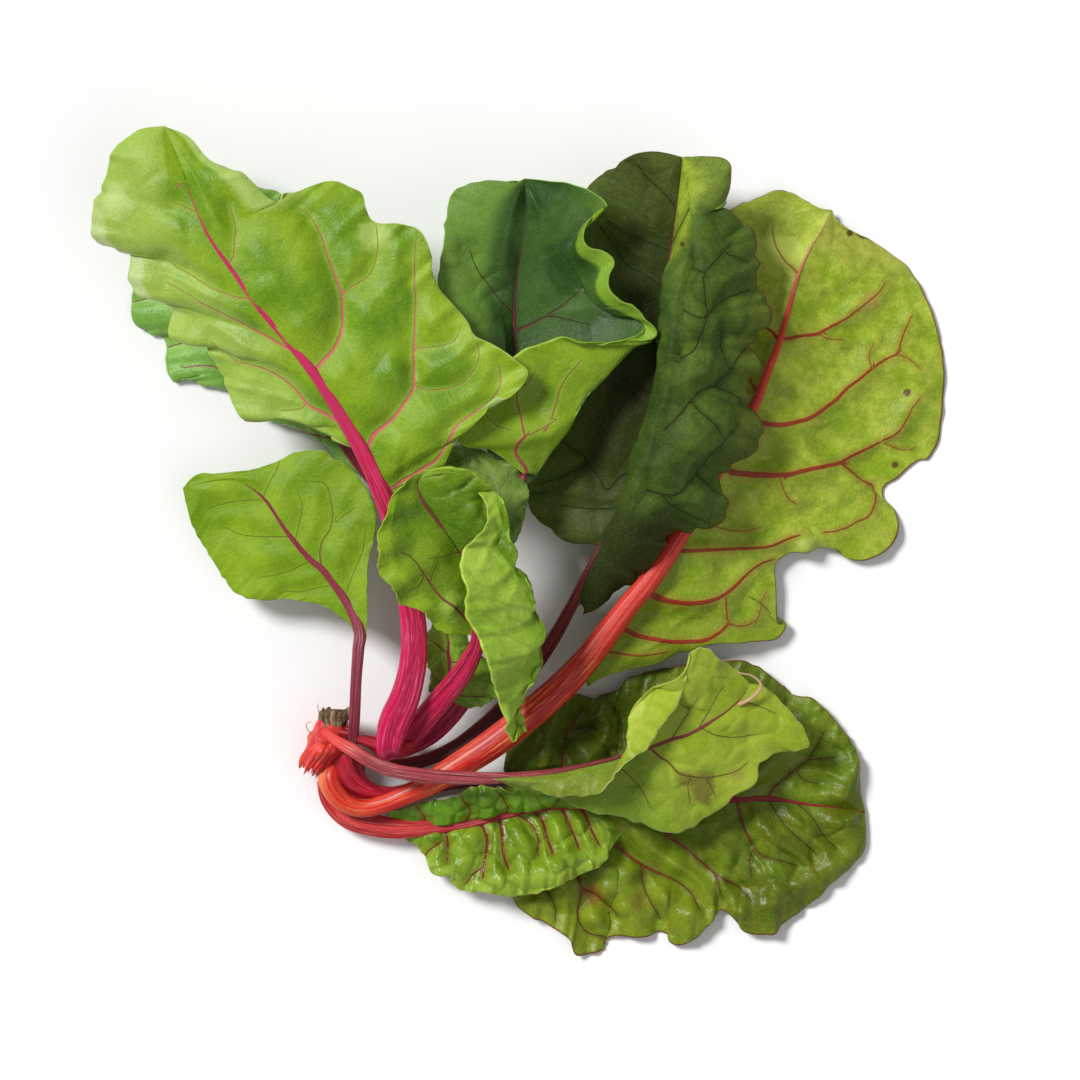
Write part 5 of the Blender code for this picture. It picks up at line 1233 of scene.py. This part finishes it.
tall_left_leaf = dict(
    join=9, sweep=1.9, rows=210, columns=(56, 56), left_start=0.12, quilt=3.4, swelling=0.8,
    swelling_size=18.0, fine=0.1, frill=1.0, waves=6, billow=1.2, vein_groove=6.0,
    bumps=[(-92, 89.6, 7, 3), (-79.9, 91.3, 5, -2), (-52.6, 72, 6, 2.4), (-45, 72, 4, -1.5),
           (-76.1, 69.5, 6, 1.8), (-107.6, 105.6, 6, 1.5), (-64.3, 94.7, 6, 1.5),
           (-37.4, 94.7, 6, 1.6), (-34.1, 49.7, 6, 1.5), (-155.9, 150.5, 8, 1.5),
           (-168.5, 144.2, 8, 1.5), (-116, 66.5, 6, 1.5)],
    base=[(-55.1, -88.5, 19, 11.3)],
    stalk=[(-55.9, -85.5, 26, 10.5), (-54.7, -79.6, 28, 12.2), (-52.6, -73.3, 31, 13),
           (-49.2, -65.8, 34, 12.6), (-46.7, -57.4, 37, 11.8), (-45, -46.9, 39, 11.3),
           (-45, -36.4, 41, 10.9), (-46.3, -23.8, 43, 10.5), (-50, -2.8, 46, 9.2),
           (-57.6, 19.5, 49, 8), (-67.3, 40.1, 52, 6.5), (-83.6, 66.9, 57, 4.6),
           (-97.5, 84.6, 58, 3.1), (-108.8, 97.6, 59, 2.3), (-119.3, 112.3, 58, 1.9),
           (-129, 126.2, 57, 1.5), (-135.3, 139.2, 56, 1.1), (-140.8, 154.7, 53, 0.7),
           (-149.2, 174.5, 48, 0.4)],
    left=[(-72.3, 42.2), (-79, 43.4), (-80.3, 48.5), (-92.9, 52.7), (-106.3, 58.5),
          (-116.8, 54.3), (-125.6, 70.3), (-134.9, 86.3), (-147.1, 87.9), (-147.5, 101),
          (-163, 109.8), (-163.9, 121.5), (-178.1, 128.3), (-178.6, 142.1), (-172.7, 154.7),
          (-170.2, 164), (-160.1, 172.8)],
    left_heights=[50, 45, 40, 37, 38, 35, 38, 36, 38, 44, 48],
    left_veins=[
        (1.3, 0.3, (-76.9, 51.4), (-81.1, 53.9), (-84.5, 55.6), (-87.8, 57.3), (-91.2, 60.2),
         (-93.3, 63.2), (-97.9, 67.4), (-103.4, 71.1), (-108.8, 73.7), (-114.7, 75.3),
         (-119.8, 77), (-124, 81.2), (-128.6, 84.2)),
        (0.4, 0.25, (-89.5, 58.5), (-91.6, 56.4), (-95.8, 55.6), (-100, 55.6)),
        (1.1, 0.25, (-94.1, 80.4), (-100.4, 83.3), (-106.3, 86.7), (-111.8, 89.6), (-116.8, 93),
         (-122.3, 95.9), (-127.3, 98.4), (-133.6, 101.4), (-139.9, 104.7), (-147.5, 108.9)),
        (0.6, 0.22, (-113, 101.8), (-118.1, 102.6), (-123.1, 104.3), (-128.6, 106.4),
         (-133.6, 109.4), (-138.2, 112.3), (-143.3, 114.8), (-148.3, 118.2)),
        (0.35, 0.2, (-132.8, 136.7), (-135.7, 138.3), (-139.1, 140), (-143.3, 141.7))],
    right=[(-51.7, 20.7), (-45, 28.7), (-32.8, 32.1), (-26.9, 43.4), (-16, 53.9), (-3.4, 61.5),
           (2.9, 71.1), (-8, 80.8), (-18.5, 86.3), (-24.8, 95.9), (-35.3, 108.5),
           (-37.9, 121.1), (-44.6, 132), (-61.4, 134.6), (-66.8, 145.9), (-80.7, 150.9),
           (-96.2, 145.5), (-103.4, 143), (-113.9, 151.8), (-129.8, 159.3), (-138.2, 169.4)],
    right_heights=[49, 54, 61, 62, 60, 57, 59, 54, 57, 52, 48],
    right_veins=[
        (1.7, 0.35, (-63.1, 41.7), (-61.4, 45.5), (-57.2, 48.9), (-53, 52.7), (-49.2, 57.7),
         (-46.3, 61.9), (-44.6, 65.7), (-44.6, 72.8), (-44.6, 81.2), (-44.2, 89.6),
         (-43.7, 100.1), (-44.2, 110.6), (-44.2, 121.1), (-43.7, 128.3)),
        (0.45, 0.25, (-44.6, 65.3), (-38.3, 64), (-32, 64.4), (-25.3, 66.1), (-21.5, 69.5),
         (-19, 72.8), (-17.3, 77.9), (-18.1, 82.9)),
        (0.4, 0.22, (-44.2, 81.2), (-38.3, 81.6), (-32, 82.5), (-27.8, 84.2), (-26.1, 87.5)),
        (1.5, 0.3, (-85.3, 72.8), (-82.4, 76.2), (-78.6, 80.4), (-76.1, 85), (-74.4, 90.5),
         (-74.4, 97.2), (-74.8, 103.9), (-76.9, 109.8), (-79, 115.7), (-81.1, 121.5),
         (-82.8, 127.4), (-85.3, 132.5), (-88.7, 137.1), (-92.9, 140)),
        (0.5, 0.22, (-74.4, 103.9), (-69.8, 107.3), (-64.3, 110.6), (-61, 115.7),
         (-59.7, 123.2), (-60.1, 131.6)),
        (0.6, 0.22, (-121.9, 115.2), (-119.8, 119.9), (-119.3, 125.3), (-118.9, 130.8),
         (-119.8, 135.8), (-121.4, 140.9)),
        (1.5, 0.4, (-56.8, 20.7), (-50, 25.8), (-45, 28.7), (-40.4, 31.7), (-35.3, 35),
         (-32, 40.1), (-29, 45.5), (-25.7, 49.7), (-21.5, 53.1), (-16.4, 56.9), (-12.2, 60.2),
         (-9.3, 64.4), (-8.5, 69.5), (-8.9, 73.7))])
grow_leaf(
    "tall_left", tall_left_leaf,
    showing=dict(
        light=(134, 166, 20), dark=(90, 132, 0), vein=(205, 92, 100), rim=(165, 188, 80),
        # the strip beside the veins is painted with a paler sheen
        thin_vein=(172, 140, 84), near=(160, 188, 74), near_share=0.4, net=(154, 184, 66),
        net_share=0.12, roughness=0.46, gloss=0.3,
        # Painted sheen on the left half; painted highlight along the right margin near the tip;
        # the curled left margin is partly its paler underside and partly painted sheen.
        zones=[("left", (0.15, 1.0), whole, (176, 200, 96), 0.55),
               ("left", (0.86, 1.0), (0.45, 0.85), (198, 210, 155), 0.7),
               ("right", (0.6, 1.0), (0.72, 1.0), (176, 198, 110), 0.7),
               ("right", (0.8, 1.0), (0.1, 0.6), (160, 186, 40), 0.5)],
        marks=[(-142.9, 149.3, 1.5, (150, 112, 54), 0.8),
               # two pale patches of painted sheen
               (-169.3, 142.1, 9.0, (196, 212, 140), 0.5),
               (-62.6, 127.4, 9.0, (180, 200, 112), 0.5)]),
    hidden=dict(
        light=(150, 180, 90), dark=(130, 165, 70), vein=(190, 100, 110), rim=(190, 205, 140),
        raised=1.0),
    stalk=dict(
        main=(212, 18, 84), pale=(240, 120, 158), deep=(168, 8, 54), streak=0.7,
        rib=(196, 40, 88), rib_from=10.0, tip=(186, 96, 70), tip_from=128.0))

# ----------------------------------------------------------------------------------------
# Folded front leaf: a young cupped blade whose right half turns over towards the viewer and
# hangs down as a crinkled flap.

folded_front_leaf = dict(
    join=6, sweep=0.9, rows=170, columns=(40, 64), quilt=1.4, swelling=1.2, swelling_size=11.0,
    fine=0.16, frill=0.3, left_relief=0.3, right_relief=2.0, waves=6,
    bumps=[(-29, -26.3, 5, 3.5), (-35.8, -1.9, 7, 2.5), (-50, -11.2, 6, 1.5),
           (-42.5, 9.8, 7, -2), (-25.7, 9.8, 6, -2)],
    base=[(-61, -86.8, 13, 4.2), (-55.5, -88.5, 14, 5.5)],
    stalk=[(-49.6, -86.4, 17, 6.7), (-45.4, -80.1, 20, 8.4), (-40, -72.9, 25, 9.7),
           (-33.7, -65.4, 31, 9.7), (-26.9, -57.4, 37, 9.2), (-21.5, -49, 43, 8),
           (-18.1, -38.9, 48, 5.5), (-20.6, -19.6, 53, 2.7), (-24.8, -5.3, 57, 1.9),
           (-32.8, 6.5, 60, 1.5), (-40.4, 17, 63, 1.3), (-43.3, 24.5, 64, 1.1),
           (-40.4, 29.6, 65, 0.8)],
    left=[(-22.3, -38.1), (-34.1, -36.4), (-42.1, -27.6), (-50, -25.5), (-53.8, -18.7),
          (-58.9, -11.2), (-59.3, -0.7), (-57.2, 9.8), (-53, 19.5), (-47.1, 27)],
    left_heights=[49, 54, 62, 67, 69, 68, 65],
    left_veins=[
        (1.3, 0.4, (-18.5, -36.4), (-23.2, -31.3), (-27.8, -26.3), (-32.8, -22.9),
         (-35.8, -19.6), (-40.4, -12.9), (-45.4, -6.1), (-49.2, -4)),
        (0.4, 0.25, (-40.4, -12.9), (-42.5, -17.9), (-46.7, -19.6)),
        (0.35, 0.2, (-25.7, -3.6), (-32, -5.3), (-38.3, -6.1)),
        (0.35, 0.2, (-35.8, -19.6), (-37.4, -15.4), (-35.8, -9.5))],
    right=[(-14.8, -40.6), (-3, -81.7), (-6.4, -77.1), (-5.5, -74.2), (-9.7, -61.6),
           (-14.3, -49.4), (-17.3, -38.9), (-22.7, -29.2), (-22.7, -19.6), (-24.8, -12.9),
           (-23.6, -3.6), (-15.2, 5.6), (-13.5, 14), (-15.6, 19.5), (-19, 25.8), (-25.7, 30),
           (-32.4, 31.2)],
    right_heights=[46, 37, 46, 58, 68, 73, 75, 73, 69, 65],
    right_fold=[(-11.4, -44.8), (1.2, -80.9), (1.2, -73.3), (5, -65.8), (8.3, -58.6),
                (6.7, -47.3), (10, -41.8), (5, -34.7), (7.5, -28.4), (5, -18.7), (-0.1, -14.5),
                (0.8, -6.1), (-2.6, 1.4), (-4.3, 12.3), (-11, 23.7), (-18.1, 30.4),
                (-29.9, 32.1)],
    right_fold_heights=[45, 35, 42, 51, 60, 65, 68, 68, 67, 65],
    right_veins=[
        (0.4, 0.25, (-25.3, -3.6), (-21.5, 1.4), (-17.3, 3.5), (-14.3, 7.7), (-13.5, 13.2),
         (-13.9, 19.1))])
grow_leaf(
    "folded_front", folded_front_leaf,
    showing=dict(
        light=(122, 152, 22), dark=(80, 116, 6), vein=(130, 50, 54), rim=(150, 180, 40),
        thin_vein=(110, 84, 40), net=(140, 172, 46), net_share=0.12, roughness=0.42,
        near_share=0.0,
        zones=[("left", (0.72, 1.0), whole, (140, 172, 24), 0.7),
               # painted shade inside the cup, beside the midrib on the folding half
               ("right", (0.0, 0.45), (0.35, 0.95), (72, 110, 6), 0.75)],
        marks=[(-29, -26.3, 7.0, (158, 194, 72), 0.7), (-51.7, -19.6, 6.0, (84, 112, 10), 0.5),
               (-37.4, -19.6, 5.0, (84, 104, 10), 0.5)]),
    hidden=dict(
        light=(168, 196, 74), dark=(122, 160, 32), vein=(150, 180, 70), rim=(170, 198, 70),
        # crease colour: painted shade in the creases between the swellings
        crease=(100, 138, 20), crease_shade_share=0.4, raised=1.0, near_share=0.0, net_share=0.15),
    stalk=dict(
        main=(200, 12, 72), pale=(232, 115, 152), deep=(150, 6, 46), streak=0.6,
        rib=(118, 60, 50)))

# ----------------------------------------------------------------------------------------
# Twisted leaf: a long thin pink stalk crosses the front of the bunch, and the blade turns
# over on it where it begins.

twisted_leaf = dict(
    join=7, sweep=1.05, rows=150, columns=(60, 50), quilt=1.4, swelling=0.8, swelling_size=10.0,
    fine=0.12, frill=0.6, scallop=0.4, base=[(-83.2, -78.8, 23, 3.8), (-80.7, -80.9, 25, 4.2)],
    stalk=[(-77.3, -83.4, 27, 4.6), (-71, -86.8, 30.5, 5.5), (-64.3, -91, 32, 5.5),
           (-55.9, -94.8, 32, 5.9), (-45.8, -96.9, 33, 5.9), (-34.1, -98.1, 33, 5.9),
           (-13.1, -98.5, 33, 5.5), (-0.5, -97.7, 33, 5), (15.9, -95.6, 34, 4),
           (36.9, -91, 34, 2.9), (49.9, -87.2, 34, 2.3), (63.4, -82.2, 34, 1.9),
           (70.5, -80.1, 33, 1.7), (84.8, -71.7, 31, 1.3), (92.8, -64.5, 28, 1.1),
           (96.1, -59.1, 27, 0.8)],
    rolls=[0, 0, 0, 0, 0, 0, 30, 70, 80, 80, 45, 10, 0, 0, 0, 0],
    left=[(-11.4, -99), (11.7, -105.3), (28.9, -105.7), (38.2, -99.8), (45.7, -91),
          (54.1, -84.7), (58.3, -76.7), (66.7, -65.8), (70.9, -46.9), (77.6, -43.5),
          (80.6, -46.9), (86.9, -50.7), (91.9, -54.4)],
    left_heights=[35, 36, 37, 40, 44, 46, 45, 44, 44, 42, 38, 30, 27],
    left_fold=[(-6.4, -98.5), (11.7, -101.1), (28.9, -99), (38.2, -95.2), (43.2, -87.6),
               (43.6, -78.4), (46.6, -69.1), (56.2, -57.8), (67.6, -57.4), (75.1, -55.7),
               (81, -55.7), (87.7, -57), (92.8, -58.2)],
    left_fold_heights=[36, 38, 39, 40, 40, 42, 43, 44, 44, 42, 40, 35, 31, 27],
    left_veins=[
        (0.5, 0.25, (63.4, -81.7), (65.9, -77.5), (70.9, -70), (74.3, -64.9)),
        (0.45, 0.25, (75.1, -77.1), (80.2, -68.3), (84.4, -60.7)),
        (0.4, 0.25, (70.9, -70), (66.7, -67.5))],
    right=[(-11.4, -99.4), (3.7, -104.4), (18.4, -108.2), (31.9, -112.8), (47, -117),
           (62.5, -120.8), (69.7, -120), (77.6, -115.8), (84.8, -112), (89, -106.5),
           (97.8, -100.6), (99.9, -94.3), (106.2, -89.3), (117.1, -87.2), (120.9, -83.4),
           (113.3, -71.2), (103.7, -61.2)],
    right_heights=[30, 26, 25, 24, 24, 24, 24, 23, 23, 24, 27],
    right_veins=[
        (0.9, 0.3, (55, -86.8), (58.3, -89.7), (61.7, -91.8), (65.9, -96), (70.9, -97.7),
         (77.2, -98.5), (83.5, -97.7), (89.8, -96), (94.9, -92.7)),
        (0.35, 0.22, (70.9, -97.7), (70.1, -102.7), (70.9, -108.6)),
        (0.35, 0.22, (77.2, -98.5), (80.2, -102.7), (81.8, -106.5)),
        (0.5, 0.22, (38.2, -91.8), (44.9, -96.9), (50.8, -103.6), (55, -111.1)),
        (0.45, 0.22, (75.1, -77.1), (81.4, -80.5), (89.8, -81.7), (98.2, -80.9)),
        (0.4, 0.22, (94, -67), (99.5, -68.3), (106.6, -71.7))])
grow_leaf(
    "twisted", twisted_leaf,
    showing=dict(
        light=(164, 182, 54), dark=(130, 156, 20), vein=(116, 42, 42), rim=(184, 198, 110),
        thin_vein=(98, 84, 34), near=(124, 104, 44), net=(166, 186, 78), net_share=0.12,
        roughness=0.45, near_share=0.1, tint=(126, 122, 45), tint_share=0.25,
        zones=[("right", whole, (0.0, 0.55), (90, 126, 26), 0.75),
               ("left", (0.0, 0.6), (0.0, 0.4), (96, 130, 30), 0.6)],
        marks=[(76.8, -102.7, 8.0, (110, 96, 38), 0.8), (69.2, -99.4, 5.0, (112, 92, 40), 0.6),
               (91.1, -97.7, 5.0, (128, 116, 52), 0.5)]),
    hidden=dict(
        light=(178, 194, 66), dark=(152, 174, 40), vein=(150, 140, 70), rim=(185, 200, 110),
        raised=1.0, net_share=0.15, zones=[("left", whole, (0.0, 0.52), (84, 106, 28), 0.9)]),
    stalk=dict(
        main=(172, 60, 72), pale=(220, 158, 148), deep=(124, 32, 44), streak=0.9,
        rib=(126, 48, 50), heel=(226, 58, 46), heel_to=-60.0))

# the stalk's thin end, which curls back over the blade
tip_path = [(91.5, -67.9, 30), (95.7, -65.8, 31), (99.5, -62.4, 31.5), (100.7, -59.1, 31.5),
            (97, -55.7, 32), (91.1, -54.4, 32.5)]
tip = closed_tube("twisted_tip", thread_rings(tip_path, 0.9, 0.35))
tip.data.materials.append(stalk_material("twisted_tip_skin", (216, 180, 146), (234, 214, 184),
                                         (196, 132, 110), 0.4, 0.7))
dress(tip, "twisted_leaf_stalk")

# ----------------------------------------------------------------------------------------
# The surface the bunch lies on: a plain matt white table, wide enough for every view. It
# lies half a millimetre below the lowest point of the bunch.

table_size, table_level = 8.0, -0.0005      # metres
bpy.ops.object.select_all(action="DESELECT")
bpy.ops.mesh.primitive_plane_add(size=table_size, location=(0.0, 0.0, table_level))
table = bpy.context.object
table.name = "table"
table_white = bpy.data.materials.new("table_white")
table_white.use_nodes = True
table_shader = table_white.node_tree.nodes["Principled BSDF"]
table_shader.inputs["Base Color"].default_value = (0.93, 0.93, 0.93, 1.0)
table_shader.inputs["Roughness"].default_value = 0.9
table.data.materials.append(table_white)

# ----------------------------------------------------------------------------------------
# Lamps and camera: one wide soft lamp high on the left, a weaker one opposite, and a bright
# room. The camera looks straight down from well above, through a long lens.

for lamp_name, source, strength, spread in (("key_lamp", (-0.75, 0.55, 1.0), 3.1, 18.0),
                                            ("fill_lamp", (0.7, -0.5, 1.0), 0.45, 60.0)):
    lamp = bpy.data.lights.new(lamp_name, "SUN")
    lamp.energy = strength
    lamp.angle = math.radians(spread)
    holder = bpy.data.objects.new(lamp_name, lamp)
    bpy.context.scene.collection.objects.link(holder)
    holder.rotation_euler = Vector(source).to_track_quat("Z", "Y").to_euler()

room_light = 0.28
room = bpy.data.worlds.new("room")
bpy.context.scene.world = room
room.use_nodes = True
room_shader = room.node_tree.nodes["Background"]
room_shader.inputs["Color"].default_value = (1.0, 1.0, 1.0, 1.0)
room_shader.inputs["Strength"].default_value = room_light
bpy.context.scene.view_settings.view_transform = "Standard"

lens, sensor = 250.0, 36.0              # millimetres
view_width = 0.4536                     # metres across the picture, at the leaves' height
leaf_level = 0.035                      # metres above the table
view_centre = (0.00792, 0.00141)        # metres
camera = bpy.data.cameras.new("camera")
camera.lens = lens
camera.sensor_width = sensor
camera.clip_end = 20.0
viewer = bpy.data.objects.new("camera", camera)
bpy.context.scene.collection.objects.link(viewer)
viewer.location = (*view_centre, leaf_level + view_width * lens / sensor)
bpy.context.scene.camera = viewer

bpy.context.view_layer.update()
